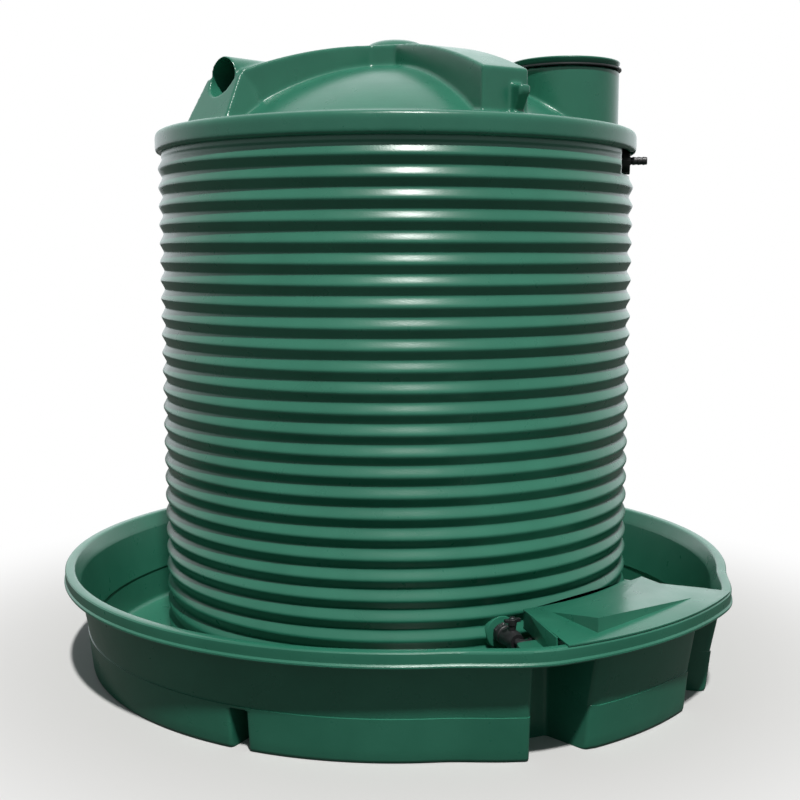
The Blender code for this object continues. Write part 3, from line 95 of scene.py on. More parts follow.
def mesh_from(name, points, faces, place=None):
    """A mesh whose points are moved by a matrix, with its faces turned outwards."""
    mesh = bpy.data.meshes.new(name)
    mesh.from_pydata([tuple(place @ Vector(p)) if place else tuple(p) for p in points], [], faces)
    shape = bmesh.new()
    shape.from_mesh(mesh)
    bmesh.ops.remove_doubles(shape, verts=shape.verts, dist=SAME_PLACE)
    bmesh.ops.recalc_face_normals(shape, faces=shape.faces)
    shape.to_mesh(mesh)
    shape.free()
    return mesh


def skin(rings):
    """Points and quads of rings of equal length, each joined to the next."""
    count = len(rings[0])
    points = [point for ring in rings for point in ring]
    faces = []
    for i in range(len(rings) - 1):
        here, above = i * count, (i + 1) * count
        for j in range(count):
            k = (j + 1) % count
            faces.append((here + j, here + k, above + k, above + j))
    return points, faces


print("points closer than", SAME_PLACE, "m become one")

# %% [markdown]
# ## The camera
#
# The photograph was taken from about eye height, a little under five metres from the tank's middle.
# The camera could be guessed and nudged until it looks right. Here its place and lens were worked out from
# the ellipses of the tank's rings and of the trough's rim, which only one camera can draw at those sizes.

# %% Camera
EYE = (0.0, -4.72, 1.583)
LENS, SENSOR = 53.3, 36.0  # millimetres
PITCH, YAW = 82.84, -0.20  # degrees: a pitch of 90 would look level

camera_data = bpy.data.cameras.new("photo_camera")
camera_data.lens = LENS
camera_data.sensor_width = SENSOR
camera = bpy.data.objects.new("photo_camera", camera_data)
camera.location = EYE
camera.rotation_euler = (math.radians(PITCH), 0.0, math.radians(YAW))
bpy.context.scene.collection.objects.link(camera)
bpy.context.scene.camera = camera
print("camera distance:", round(camera.location.length, 2), "m")

# %% [markdown]
# ## The sun and the sky
#
# Outdoors there are two lights: a small hard sun and a large soft sky. The sun stands high and a little to
# the right of the camera, which is why every ring has a bright top and a dark underside.
# The world is white for the camera, so that the background stays clean. For the object it is a weak blue
# fill. The satin skin mirrors a brighter sky, brightest low down behind the tank, as under thin cloud. That
# is what gives the roof its pale sheen, because the roof is seen at a flat angle.

# %% Sun
SUN_AZIMUTH, SUN_ELEVATION = 11.0, 64.0
SUN_STRENGTH, SUN_WIDTH = 3.3, 3.0  # a wider sun than the real one, for softer edges of shadow

sun_data = bpy.data.lights.new("sun", "SUN")
sun_data.energy = SUN_STRENGTH
sun_data.angle = math.radians(SUN_WIDTH)
sun_data.color = (1.0, 0.985, 0.96)
sun = bpy.data.objects.new("sun", sun_data)
sun_height = math.radians(SUN_ELEVATION)
sun_from = polar(math.cos(sun_height), SUN_AZIMUTH, math.sin(sun_height))
sun.rotation_euler = sun_from.to_track_quat("Z", "Y").to_euler()
bpy.context.scene.collection.objects.link(sun)
print("sun comes from", tuple(round(c, 2) for c in sun_from))

# %% A helper for shader nodes
def add_node(nodes, kind, **inputs):
    """A new shader node. Each keyword sets the input of that name, with _ for a space in the name."""
    node = nodes.new("ShaderNode" + kind)
    for name, value in inputs.items():
        node.inputs[name.replace("_", " ")].default_value = value
    return node


print("a keyword such as To_Min sets the input To Min")

# %% Sky
SKY_FILL = 0.14
MIRRORED_OVERHEAD, MIRRORED_BEHIND = 0.50, 1.50  # added to the fill where the skin mirrors the sky

world = bpy.data.worlds.new("plain_sky")
bpy.context.scene.world = world
world.use_nodes = True
nodes, links = world.node_tree.nodes, world.node_tree.links
nodes.clear()
ray = add_node(nodes, "LightPath")
direction = add_node(nodes, "TexCoord")
axes = add_node(nodes, "SeparateXYZ")
links.new(direction.outputs["Generated"], axes.inputs["Vector"])
mirrored = add_node(nodes, "MapRange", To_Min=MIRRORED_OVERHEAD, To_Max=MIRRORED_BEHIND)
links.new(axes.outputs["Y"], mirrored.inputs["Value"])
strength = add_node(nodes, "Math")
strength.operation = "MULTIPLY_ADD"
links.new(ray.outputs["Is Glossy Ray"], strength.inputs[0])
links.new(mirrored.outputs["Result"], strength.inputs[1])
strength.inputs[2].default_value = SKY_FILL
sky = add_node(nodes, "Background", Color=(0.93, 0.97, 1.0, 1.0))
links.new(strength.outputs["Value"], sky.inputs["Strength"])
backdrop = add_node(nodes, "Background", Color=(1.0, 1.0, 1.0, 1.0), Strength=1.0)
choose = add_node(nodes, "MixShader")
links.new(ray.outputs["Is Camera Ray"], choose.inputs["Fac"])
links.new(sky.outputs["Background"], choose.inputs[1])
links.new(backdrop.outputs["Background"], choose.inputs[2])
world_out = add_node(nodes, "OutputWorld")
links.new(choose.outputs["Shader"], world_out.inputs["Surface"])
bpy.context.scene.view_settings.view_transform = "Standard"
print("nodes in the sky:", len(nodes))

# %% [markdown]
# ## Materials
#
# Rotational moulding leaves a skin that is satin, not glossy: very fine orange peel, slightly uneven gloss,
# and a faint cloudiness where the powder melted. One flat green would look like paint.
# So the colour drifts with a large noise and the gloss with a smaller one, and a very fine third one makes
# the orange peel. Noises need no picture and no unwrapping, and they look the same from every side.

# %% A helper for plastics and metals
def finish(name, dark, light, patch, roughness, uneven, peel, peel_size, metallic=0.0, streak=1.0):
    """A surface whose colour drifts between two tones, with uneven gloss and a fine skin.

    patch and peel_size are the sizes of the clouds and of the skin's bumps, peel is how high the bumps are,
    and a streak above 1 squeezes the clouds from top to bottom.
    """
    look = bpy.data.materials.new(name)
    look.use_nodes = True
    nodes, links = look.node_tree.nodes, look.node_tree.links
    shader = nodes["Principled BSDF"]
    shader.inputs["Metallic"].default_value = metallic
    place = add_node(nodes, "TexCoord")
    stretch = add_node(nodes, "Mapping", Scale=(1.0, 1.0, streak))
    links.new(place.outputs["Object"], stretch.inputs["Vector"])

    clouds = add_node(nodes, "TexNoise", Scale=1.0 / patch, Detail=5.0, Roughness=0.6)
    links.new(stretch.outputs["Vector"], clouds.inputs["Vector"])
    tone = add_node(nodes, "ValToRGB")
    for element, position, colour in zip(tone.color_ramp.elements, (0.34, 0.66), (dark, light)):
        element.position = position
        element.color = (*colour, 1.0)
    links.new(clouds.outputs["Fac"], tone.inputs["Fac"])
    links.new(tone.outputs["Color"], shader.inputs["Base Color"])

    rubbed = add_node(nodes, "TexNoise", Scale=5.0 / patch, Detail=3.0)
    links.new(place.outputs["Object"], rubbed.inputs["Vector"])
    gloss = add_node(nodes, "MapRange", To_Min=roughness - uneven, To_Max=roughness + uneven)
    links.new(rubbed.outputs["Fac"], gloss.inputs["Value"])
    links.new(gloss.outputs["Result"], shader.inputs["Roughness"])

    grain = add_node(nodes, "TexNoise", Scale=1.0 / peel_size, Detail=2.0)
    links.new(place.outputs["Object"], grain.inputs["Vector"])
    bump = add_node(nodes, "Bump", Strength=0.35, Distance=peel)
    links.new(grain.outputs["Fac"], bump.inputs["Height"])
    links.new(bump.outputs["Normal"], shader.inputs["Normal"])
    return look


# %% The finishes on this object, by material slot
FINISHES = {
    "green_plastic": finish(
        "green_polyethylene", dark=(0.022, 0.160, 0.100), light=(0.032, 0.195, 0.125),
        patch=0.35, roughness=0.29, uneven=0.05, peel=0.0006, peel_size=0.006,
    ),
    "black_plastic": finish(
        "black_polypropylene", dark=(0.014, 0.015, 0.016), light=(0.024, 0.025, 0.027),
        patch=0.05, roughness=0.42, uneven=0.08, peel=0.0002, peel_size=0.0015,
    ),
    "black_rubber": finish(
        "black_rubber", dark=(0.010, 0.010, 0.011), light=(0.018, 0.018, 0.018),
        patch=0.02, roughness=0.78, uneven=0.08, peel=0.0002, peel_size=0.001,
    ),
    "brass": finish(
        "cast_brass", dark=(0.52, 0.36, 0.15), light=(0.68, 0.50, 0.24),
        patch=0.02, roughness=0.34, uneven=0.10, peel=0.0002, peel_size=0.001, metallic=1.0,
    ),
    "stainless_steel": finish(
        "stainless_steel", dark=(0.48, 0.49, 0.50), light=(0.62, 0.63, 0.64),
        patch=0.02, roughness=0.30, uneven=0.08, peel=0.0001, peel_size=0.0008, metallic=1.0, streak=6.0,
    ),
    "float_plastic": finish(
        "float_plastic", dark=(0.62, 0.63, 0.60), light=(0.78, 0.79, 0.76),
        patch=0.06, roughness=0.46, uneven=0.06, peel=0.0002, peel_size=0.002,
    ),
}
print("finishes:", [look.name for look in FINISHES.values()])

# %% Putting a piece in the scene
remade = set()


def put(name, mesh, body, slot, node, sharp):
    """Puts a piece in the scene: its body, its material slot and the solid node that it stands for.

    Edges where the faces turn by more than the angle sharp stay crisp, and the others are shaded smooth.
    """
    piece = bpy.data.objects.new(name, mesh)
    bpy.context.scene.collection.objects.link(piece)
    mesh.materials.clear()
    mesh.materials.append(FINISHES[slot])
    mesh.shade_smooth()
    mesh.set_sharp_from_angle(angle=math.radians(sharp))
    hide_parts(node)
    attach(piece, body)
    remade.add(node)
    print(name + ":", len(mesh.polygons), "faces")


# %% [markdown]
# ## The trough
#
# The trough is one moulding, 2.6 m across: a rolled rim, a wall with a faint step, and a flat floor.
# Over the float valve its wall bulges out, and deep folds run up the outside of the wall beside the bulge.
# Folds could be cut with Booleans, but those leave knife edges that no mould makes. So the wall is
# lofted: one closed outline goes round the trough and turns in at each fold with rounded
# corners, and above a fold the same points close up onto the round wall.

# %% Sizes of the trough
RIM_RADIUS, RIM_TOP, RIM_LOW = 1.304, 0.392, 0.336
WALL_TOP, WALL_STEP, WALL_FOOT = 1.252, 1.222, 1.206  # radii under the rim, at the step and at the ground
STEP_HEIGHT, STEP_IN = 0.150, 0.004
TROUGH_WALL, FLOOR = 0.010, 0.012  # the wall's thickness, and the height of the floor's top
BAY_BULGE = 0.060
BAY_START, BAY_END, BAY_BLEND = 6.0, 74.0, 16.0  # degrees

# A fold gets wider outwards, by spread for each metre, from its width at the inner end
Fold = namedtuple("Fold", "azimuth inner width spread height")
NOTCH_HEIGHT, FOLD_HEIGHT = 0.140, 0.321
FOLDS = [
    Fold(-24.4, 1.096, 0.050, 0.100, NOTCH_HEIGHT),
    Fold(24.0, 1.100, 0.100, 0.684, FOLD_HEIGHT),
    Fold(57.0, 1.100, 0.100, 0.684, FOLD_HEIGHT),
    Fold(155.6, 1.096, 0.050, 0.100, NOTCH_HEIGHT),
]


def bay_bulge(azimuth):
    """How far the wall bulges out over the float valve."""
    rise = smooth_step((azimuth - BAY_START) / BAY_BLEND)
    fall = smooth_step((BAY_END - azimuth) / BAY_BLEND)
    return BAY_BULGE * rise * fall


print("wall leans out by", round(WALL_TOP - WALL_FOOT, 3), "m")

# %% The outline of one fold
CORNER_ROUND = 0.014


def bend(a, corner, b, count=5):
    """A rounded corner as a curve from a to b that leans towards the corner."""
    return [a * (1 - t) ** 2 + corner * (2 * t * (1 - t)) + b * t * t for t in evenly(0.0, 1.0, count - 1)]


def fold_outline(fold, radius, offset):
    """One fold's outline in its own (radial, across) axes, in the order of rising azimuth.

    radius is that of the wall at this height, and offset makes the outline larger, for the wall's inside.
    """
    inner, half = fold.inner - offset, fold.width / 2 + offset

    def side(x):
        return half + fold.spread / 2 * (x - inner)

    mouth_x = radius + bay_bulge(fold.azimuth)
    for _ in range(4):
        edge = fold.azimuth - math.degrees(math.atan2(side(mouth_x), mouth_x))
        mouth_x = math.sqrt((radius + bay_bulge(edge)) ** 2 - side(mouth_x) ** 2)
    mouth = Vector((mouth_x, -side(mouth_x)))
    turn = CORNER_ROUND / mouth.length
    start = Vector((
        mouth.x * math.cos(turn) + mouth.y * math.sin(turn),
        mouth.y * math.cos(turn) - mouth.x * math.sin(turn),
    ))
    inside = Vector((mouth_x - CORNER_ROUND, -side(mouth_x - CORNER_ROUND)))
    before = Vector((inner + CORNER_ROUND, -side(inner + CORNER_ROUND)))
    after = Vector((inner, -half + CORNER_ROUND))
    left = bend(start, mouth, inside)
    left += [inside.lerp(before, k / 4) for k in range(1, 4)]
    left += bend(before, Vector((inner, -half)), after)
    left += [after.lerp(Vector((inner, 0.0)), k / 2) for k in range(1, 3)]
    return left + [Vector((p.x, -p.y)) for p in reversed(left[:-1])]


print("points in one fold's outline:", len(fold_outline(FOLDS[1], WALL_TOP, 0.0)))

# %% One ring of the trough
PLAIN_STEPS = [30, 20, 66, 110]  # how many steps the plain wall has after each fold


def never(fold):
    """For rings where every fold is closed."""
    return 0.0


def trough_ring(radius, height, open_to, share=1.0, offset=0.0, flat=None):
    """The points of one ring.

    open_to(fold) says how far each fold is open there, from 0 to 1. share is how much of the bay's bulge the
    ring has, and flat is the ring's own radius where that isn't the wall's.
    """
    def closed(azimuth):
        return (radius if flat is None else flat) + share * bay_bulge(azimuth)

    outlines = []
    for fold in FOLDS:
        outline = fold_outline(fold, radius, offset)
        outlines.append([(fold.azimuth + math.degrees(math.atan2(p.y, p.x)), p.length) for p in outline])
    ring = []
    for i, fold in enumerate(FOLDS):
        opened = open_to(fold)
        for azimuth, reach in outlines[i]:
            shut = closed(azimuth)
            ring.append(polar(shut + (reach - shut) * opened, azimuth, height))
        last, following = outlines[i][-1][0], outlines[(i + 1) % len(FOLDS)][0][0]
        if following < last:
            following += 360.0
        for azimuth in evenly(last, following, PLAIN_STEPS[i])[1:-1]:
            azimuth = (azimuth + 180.0) % 360.0 - 180.0
            ring.append(polar(closed(azimuth), azimuth, height))
    return ring


print("points in each ring:", len(trough_ring(1.25, 0.3, never)))

# %% How a fold closes, and how the wall leans
# How far below its ceiling a fold is (in metres), and how far it is open there
CLOSING = [
    (-0.006, 0.0), (-0.002, 0.015), (-0.0008, 0.06), (0.0, 0.5), (0.0008, 0.94), (0.003, 0.988), (0.008, 1.0),
]


def opening_at(height, lift=0.0):
    """How far a fold is open at a height: fully below its ceiling, then it closes within a few millimetres."""
    def opened(fold):
        under = fold.height + lift - height
        if under <= CLOSING[0][0]:
            return 0.0
        for (low, a), (high, b) in zip(CLOSING, CLOSING[1:]):
            if under <= high:
                return a + (b - a) * (under - low) / (high - low)
        return 1.0
    return opened


def ceiling_steps(top):
    """Heights close together about a fold's ceiling, where its shape changes fast."""
    return [top - 0.008, top - 0.003, top - 0.0008, top, top + 0.0008, top + 0.002, top + 0.006]


def wall_radius(height):
    """Radius of the wall's outside: it leans out up to the step, goes in a little there and leans out again."""
    if height < STEP_HEIGHT:
        return WALL_FOOT + (WALL_STEP - WALL_FOOT) * height / STEP_HEIGHT
    above = (height - STEP_HEIGHT) / (RIM_LOW - STEP_HEIGHT)
    return WALL_STEP - STEP_IN + (WALL_TOP - WALL_STEP + STEP_IN) * above


def inner_radius(height):
    return wall_radius(height) - TROUGH_WALL


print("the step goes in by", STEP_IN, "m")

# %% The outside of the trough, from the middle of its underside up to the rim
UNDER_ROUND = 0.012  # the rounding between the wall and the underside

trough_rings = []
for radius, share in ((0.0, 0.0), (0.5, 0.0), (1.040, 1.0)):
    trough_rings.append(trough_ring(WALL_FOOT - UNDER_ROUND, 0.0, never, share, flat=radius))
for inset, height in ((UNDER_ROUND, 0.0), (0.005, 0.0015), (0.0012, 0.006), (0.0, 0.013)):
    trough_rings.append(trough_ring(wall_radius(height) - inset, height, opening_at(height)))
for height in (0.05, 0.09, 0.118, *ceiling_steps(NOTCH_HEIGHT), 0.1478, STEP_HEIGHT):
    below_step = min(height, STEP_HEIGHT - 0.0001)
    trough_rings.append(trough_ring(wall_radius(below_step), height, opening_at(height)))
for height in (0.1512, 0.154, 0.20, 0.25, 0.29, *ceiling_steps(FOLD_HEIGHT), 0.3345):
    trough_rings.append(trough_ring(wall_radius(height), height, opening_at(height)))
print("rings outside:", len(trough_rings))

# %% The rim
RIM = [
    (1.2535, 0.3356), (1.2570, 0.3362), (1.2960, 0.3362), (1.3015, 0.3382), (RIM_RADIUS, 0.3425),
    (1.3036, 0.3475), (1.3008, 0.3510), (1.2990, 0.3535), (1.2992, 0.3650), (1.3000, 0.3800), (1.2996, 0.3855),
    (1.2965, 0.3900), (1.2915, 0.3918), (1.2840, RIM_TOP), (1.2740, RIM_TOP), (1.2685, 0.3912),
    (1.2645, 0.3882), (1.2625, 0.3840),
]
for radius, height in RIM:
    trough_rings.append(trough_ring(radius, height, never))
print("rings in the rim:", len(RIM))

# %% The inside of the trough, from the rim down to the middle of its floor
UNDER_RIM = 0.384 - RIM_LOW  # the rim's inner face is this high, and leans outwards by
INNER_LEAN = 0.0205
WALL_END = 0.040  # where the wall's inside begins to round into the floor
FLOOR_ROUND = 0.024

inner_heights = [0.365, 0.350, *reversed(ceiling_steps(FOLD_HEIGHT + TROUGH_WALL)), 0.29, 0.25, 0.21, 0.18]
inner_heights += [*reversed(ceiling_steps(NOTCH_HEIGHT + TROUGH_WALL)), 0.12, 0.09, 0.06, WALL_END]
for height in inner_heights:
    radius = inner_radius(min(height, RIM_LOW)) + INNER_LEAN * max(0.0, (height - RIM_LOW) / UNDER_RIM)
    trough_rings.append(trough_ring(radius, height, opening_at(height, TROUGH_WALL), offset=TROUGH_WALL))
foot = inner_radius(WALL_END)
for inset, height in ((0.001, 0.0310), (0.005, 0.0215), (0.011, 0.0155), (0.018, 0.0127), (FLOOR_ROUND, FLOOR)):
    trough_rings.append(trough_ring(foot - inset, height, lambda fold: 1.0, offset=TROUGH_WALL))
for radius, share in ((1.060, 0.6), (0.95, 0.0), (0.45, 0.0), (0.0, 0.0)):
    trough_rings.append(trough_ring(foot - FLOOR_ROUND, FLOOR, never, share, TROUGH_WALL, radius))
print("rings in the trough:", len(trough_rings))

# %% The trough's mesh
trough_mesh = mesh_from("trough_moulding", *skin(trough_rings))
put("trough_moulding", trough_mesh, "tank_and_trough", "green_plastic", "trough", 30.0)

# %% [markdown]
# ## The tank's wall
#
# Twenty-seven rings stiffen the wall, like the hoops of a barrel. Each has two flat flanks with a rounded
# crest and valley, so the upper flank is all lit and the lower one all dark.
# A wave texture could fake them, but it would leave the outline smooth, so they are modelled.
# Near the top, under the lip, a wide flat is let into the wall for the overflow's nut. It could be cut with
# a Boolean. Here the same columns and rows are pushed in instead, so the wall stays one clean grid.

# %% Sizes of the tank
TANK = 0.915  # radius of the crests
TANK_BASE = 0.0123
CAVITY = 0.890  # radius of the smooth inside
LIP, LIP_LOW = 0.924, 1.950
SHOULDER, SHOULDER_TOP = 0.700, 2.050
DOME_RISE = 0.230
DOME_TOP = SHOULDER_TOP + DOME_RISE

RING_COUNT, RING_PITCH, RING_DEPTH = 27, 0.0694, 0.0155
FIRST_CREST = 0.0861
LAST_CREST = FIRST_CREST + (RING_COUNT - 1) * RING_PITCH
ROWS_PER_RING = 14
CREST_SHARPNESS = 0.93  # 1 would make the crests and valleys knife edges, 0 a soft wave
print("rings from", FIRST_CREST, "to", round(LAST_CREST, 4), "m")

# %% The rows of the wall, as (radius, height)
def ring_section(height):
    """Radius of the corrugated wall at a height: flat flanks, and rounded crests and valleys."""
    phase = 2 * math.pi * (height - FIRST_CREST) / RING_PITCH
    wave = math.acos(CREST_SHARPNESS * math.cos(phase))
    least = math.acos(CREST_SHARPNESS)
    return TANK - RING_DEPTH * (wave - least) / (math.pi - 2 * least)


base_rows = [
    (0.0, TANK_BASE), (0.895, TANK_BASE), (0.902, TANK_BASE + 0.0012), (0.9075, TANK_BASE + 0.0045),
    (0.9100, TANK_BASE + 0.010), (0.9105, TANK_BASE + 0.020),
]
past_crest = 0.62 * RING_PITCH  # the first and the last ring each end a little past their valley
row_heights = []
height = FIRST_CREST - past_crest
while height < LAST_CREST + past_crest:
    row_heights.append(height)
    height += RING_PITCH / ROWS_PER_RING
row_heights += [1.8605, 1.862, 1.864]  # close together, where the overflow's flat begins
outer_rows = base_rows + [(ring_section(height), height) for height in sorted(row_heights)]
outer_rows += [(0.9020, 1.938), (0.9010, 1.945), (0.9010, 1.955), (0.9010, 1.975)]
inner_rows = [(CAVITY, height) for height in (1.975, 1.875, 1.866, 1.855, 1.845, 1.83, 0.036)]
inner_rows += [(0.882, 0.0223), (0.0, 0.0223)]
print("rows on the wall:", len(outer_rows), "outside and", len(inner_rows), "inside")

# %% The flat for the overflow
OVERFLOW_AZIMUTH, OVERFLOW_HEIGHT, OVERFLOW_SEAT = 80.0, 1.922, 0.867
FLAT_LOW, FLAT_FADE = 1.860, 0.005
FLAT_REACH = 0.6  # radians to either side, past which the wall is round for certain
SOFT_EDGE = 0.004  # the flat's edge is blended over this much depth
TANK_WALL = 0.010


def let_in(radius, azimuth, height, seat, low):
    """The radius after the overflow's flat is pushed in. It runs out where the flat meets the round wall."""
    angle = math.radians(azimuth - OVERFLOW_AZIMUTH)
    if abs(angle) > FLAT_REACH:
        return radius
    gap = radius - seat / math.cos(angle)
    if gap < -SOFT_EDGE:
        return radius
    pushed = gap - SOFT_EDGE / 4 if gap > SOFT_EDGE else (gap + SOFT_EDGE) ** 2 / (4 * SOFT_EDGE)
    return radius - pushed * smooth_step((height - low) / FLAT_FADE)


print("the flat is let in by", round(TANK - OVERFLOW_SEAT, 3), "m")

# %% The wall's mesh
FLAT_EDGE = 18.6  # degrees from the flat's middle to its edge, where the columns stand closer

columns = [1.5 * k for k in range(240)]  # azimuths
for middle in (OVERFLOW_AZIMUTH - FLAT_EDGE, OVERFLOW_AZIMUTH + FLAT_EDGE):
    columns = [a for a in columns if abs(a - middle) > 3.0] + [middle + 0.4 * k for k in range(-7, 8)]
columns.sort()
wall_rings = []
for rows, depth in ((outer_rows, 0.0), (inner_rows, TANK_WALL)):
    for radius, height in rows:
        wall_rings.append([
            polar(let_in(radius, a, height, OVERFLOW_SEAT - depth, FLAT_LOW - depth), a, height)
            for a in columns
        ])
wall_mesh = mesh_from("tank_wall", *skin(wall_rings))
put("tank_wall", wall_mesh, "tank_and_trough", "green_plastic", "tank_shell", 40.0)

# %% [markdown]
# ## The tank's roof
#
# The roof has a dome, a cross of four box ribs, a crown in the middle, a round boss on a flared foot, lifting
# lugs and the neck of the manway. In the mould all of these melt into one skin with soft inner corners.
# Joining them with Booleans gives sharp creases. Instead the closed shapes are laid into one another,
# remeshed on a fine grid, which joins them, and then smoothed a little, which rounds the corners.

# %% Helpers for simple closed shapes
def hull_mesh(points, place=None):
    """The tightest closed shape with flat faces round some points."""
    shape = bmesh.new()
    for point in points:
        shape.verts.new(place @ Vector(point) if place else point)
    made = bmesh.ops.convex_hull(shape, input=shape.verts)
    spare = [item for item in made["geom_interior"] if isinstance(item, bmesh.types.BMVert)]
    bmesh.ops.delete(shape, geom=spare, context="VERTS")
    bmesh.ops.recalc_face_normals(shape, faces=shape.faces)
    mesh = bpy.data.meshes.new("hull")
    shape.to_mesh(mesh)
    shape.free()
    return mesh


def prism_mesh(outline, low, high, place=None):
    """An outline of (x, y) points raised from one height to another."""
    count = len(outline)
    points = [(x, y, low) for x, y in outline] + [(x, y, high) for x, y in outline]
    faces = [tuple(range(count))[::-1], tuple(range(count, 2 * count))]
    faces += [(k, (k + 1) % count, count + (k + 1) % count, count + k) for k in range(count)]
    return mesh_from("prism", points, faces, place)


def turned_mesh(profile, steps, place=None):
    """A profile of (radius, height) points turned round Z."""
    rings = [[polar(radius, 360.0 * k / steps, height) for k in range(steps)] for radius, height in profile]
    return mesh_from("turned", *skin(rings), place)


def rod_mesh(radius, low, high, steps, place):
    """A plain cylinder along the place's Z."""
    return turned_mesh([(0.0, high), (radius, high), (radius, low), (0.0, low)], steps, place)


print("closed shapes: hull, prism, turned, rod")

# %% Objects to work on
def gather(name, meshes):
    """One object that holds several closed meshes, still separate."""
    shape = bmesh.new()
    for mesh in meshes:
        shape.from_mesh(mesh)
    mesh = bpy.data.meshes.new(name)
    shape.to_mesh(mesh)
    shape.free()
    holder = bpy.data.objects.new(name, mesh)
    bpy.context.scene.collection.objects.link(holder)
    return holder


def apply_all(holder):
    """Bakes an object's modifiers into its mesh."""
    bpy.context.view_layer.update()
    graph = bpy.context.evaluated_depsgraph_get()
    mesh = bpy.data.meshes.new_from_object(holder.evaluated_get(graph))
    holder.modifiers.clear()
    holder.data = mesh


def take_mesh(holder):
    """The mesh of an object that was only there to be worked on."""
    mesh = holder.data
    bpy.data.objects.remove(holder)
    return mesh


print("helpers: gather, apply_all, take_mesh")

# %% Melting, joining and cutting
def melt(holder, voxel, rounds=0):
    """Remeshes an object on a grid and smooths it for a number of rounds."""
    remesh = holder.modifiers.new("Melt", "REMESH")
    remesh.mode = "VOXEL"
    remesh.voxel_size = voxel
    if rounds:
        soften = holder.modifiers.new("Soften", "SMOOTH")
        soften.factor = 0.5
        soften.iterations = rounds
    apply_all(holder)


def boolean(holder, mesh, operation):
    """Combines an object with a closed mesh. The exact solver copes with faces that lie in one plane."""
    other = bpy.data.objects.new("other", mesh)
    bpy.context.scene.collection.objects.link(other)
    step = holder.modifiers.new("Boolean", "BOOLEAN")
    step.operation = operation
    step.solver = "EXACT"
    step.object = other
    apply_all(holder)
    bpy.data.objects.remove(other)


def carve(holder, mesh):
    """Cuts a closed mesh out of an object."""
    boolean(holder, mesh, "DIFFERENCE")


def weld(holder, mesh):
    """Joins a closed mesh to an object."""
    boolean(holder, mesh, "UNION")


print("helpers: melt, carve, weld")

# %% The dome and the lip
SHOULDER_FALL, SHOULDER_WIDTH = 0.0215, 0.200  # the shoulder slopes down by this much over this width
DOME_WALL, DOME_INSIDE = 0.016, 0.690
dome_radius = (SHOULDER**2 + DOME_RISE**2) / (2 * DOME_RISE)


def dome_height(across):
    """Height of the roof's skin at a distance from the middle: a part of a ball, then the shoulder."""
    if across >= SHOULDER:
        return SHOULDER_TOP - SHOULDER_FALL * (across - SHOULDER) / SHOULDER_WIDTH
    return DOME_TOP - (dome_radius - math.sqrt(dome_radius**2 - across**2))


dome_profile = [(across, dome_height(across)) for across in evenly(0.0, SHOULDER, 26)]
dome_profile += [
    (0.80, 2.0392), (0.88, 2.0306), (0.900, 2.0284), (0.910, 2.0262), (0.918, 2.0215), (0.9225, 2.0150),
    (LIP, 2.0060), (LIP, 1.9590), (0.9225, 1.9525), (0.9195, LIP_LOW), (0.8950, LIP_LOW), (CAVITY, 2.012),
    (DOME_INSIDE, 2.034),
]
dome_profile += [(across, dome_height(across) - DOME_WALL) for across in evenly(DOME_INSIDE, 0.0, 12)[1:]]
roof_shapes = [turned_mesh(dome_profile, 300)]
print("points in the dome's profile:", len(dome_profile))

# %% The ribs
RIB_WIDTH, RIB_RISE, RIB_REACH = 0.190, 0.075, 0.740
RIB_DROOP = 0.290  # how fast a rib's top falls from the middle outwards
RIB_SUNK = 0.009  # how deep its underside lies in the dome's skin
BOSS_RIB, PLAIN_RIB = -60.0, 30.0
BOSS_RIB_REACH = 0.680


def rib_height(along):
    """Height of a rib's top at a distance from the middle."""
    return DOME_TOP + RIB_RISE - RIB_DROOP * along**2


def rib_place(azimuth):
    """X along the rib, Y across it, Z up."""
    return Matrix.Rotation(math.radians(azimuth - 90.0), 4, "Z")


for azimuth, front in ((BOSS_RIB, BOSS_RIB_REACH), (PLAIN_RIB, RIB_REACH)):
    outline = [(x, rib_height(x)) for x in evenly(front, -RIB_REACH, 40)]
    outline += [(x, dome_height(abs(x)) - RIB_SUNK) for x in evenly(-RIB_REACH, front, 40)]
    stand = rib_place(azimuth) @ Matrix.Rotation(math.pi / 2, 4, "X")
    roof_shapes.append(prism_mesh(outline, -RIB_WIDTH / 2, RIB_WIDTH / 2, stand))
print("roof shapes with the ribs:", len(roof_shapes))

# %% The crown and the corners beside it
half = RIB_WIDTH / 2
corner = half + 0.066
outline = [
    (corner, -half), (corner, half), (half, corner), (-half, corner),
    (-corner, half), (-corner, -half), (-half, -corner), (half, -corner),
]
roof_shapes.append(prism_mesh(outline, DOME_TOP - 0.03, rib_height(corner) - 0.001, rib_place(BOSS_RIB)))
CROWN = [
    (0.0, 0.034), (0.045, 0.032), (0.075, 0.028), (0.098, 0.020), (0.114, 0.008), (0.120, -0.006),
    (0.120, -0.030), (0.0, -0.030),
]
crown_profile = [(radius, DOME_TOP + RIB_RISE + rise) for radius, rise in CROWN]
roof_shapes.append(turned_mesh(crown_profile, 64))
print("roof shapes with the crown:", len(roof_shapes))

# %% The boss on its flared foot
BOSS_HEIGHT = SHOULDER_TOP + 0.151
BOSS_MIDDLE = 0.706
BOSS_AZIMUTH = -46.0
BOSS_RADIUS, BOSS_BORE = 0.0750, 0.0690
BOSS_FRONT, BOSS_BACK, BOSS_BORE_END = 0.720, 0.480, 0.560  # along the boss's axis

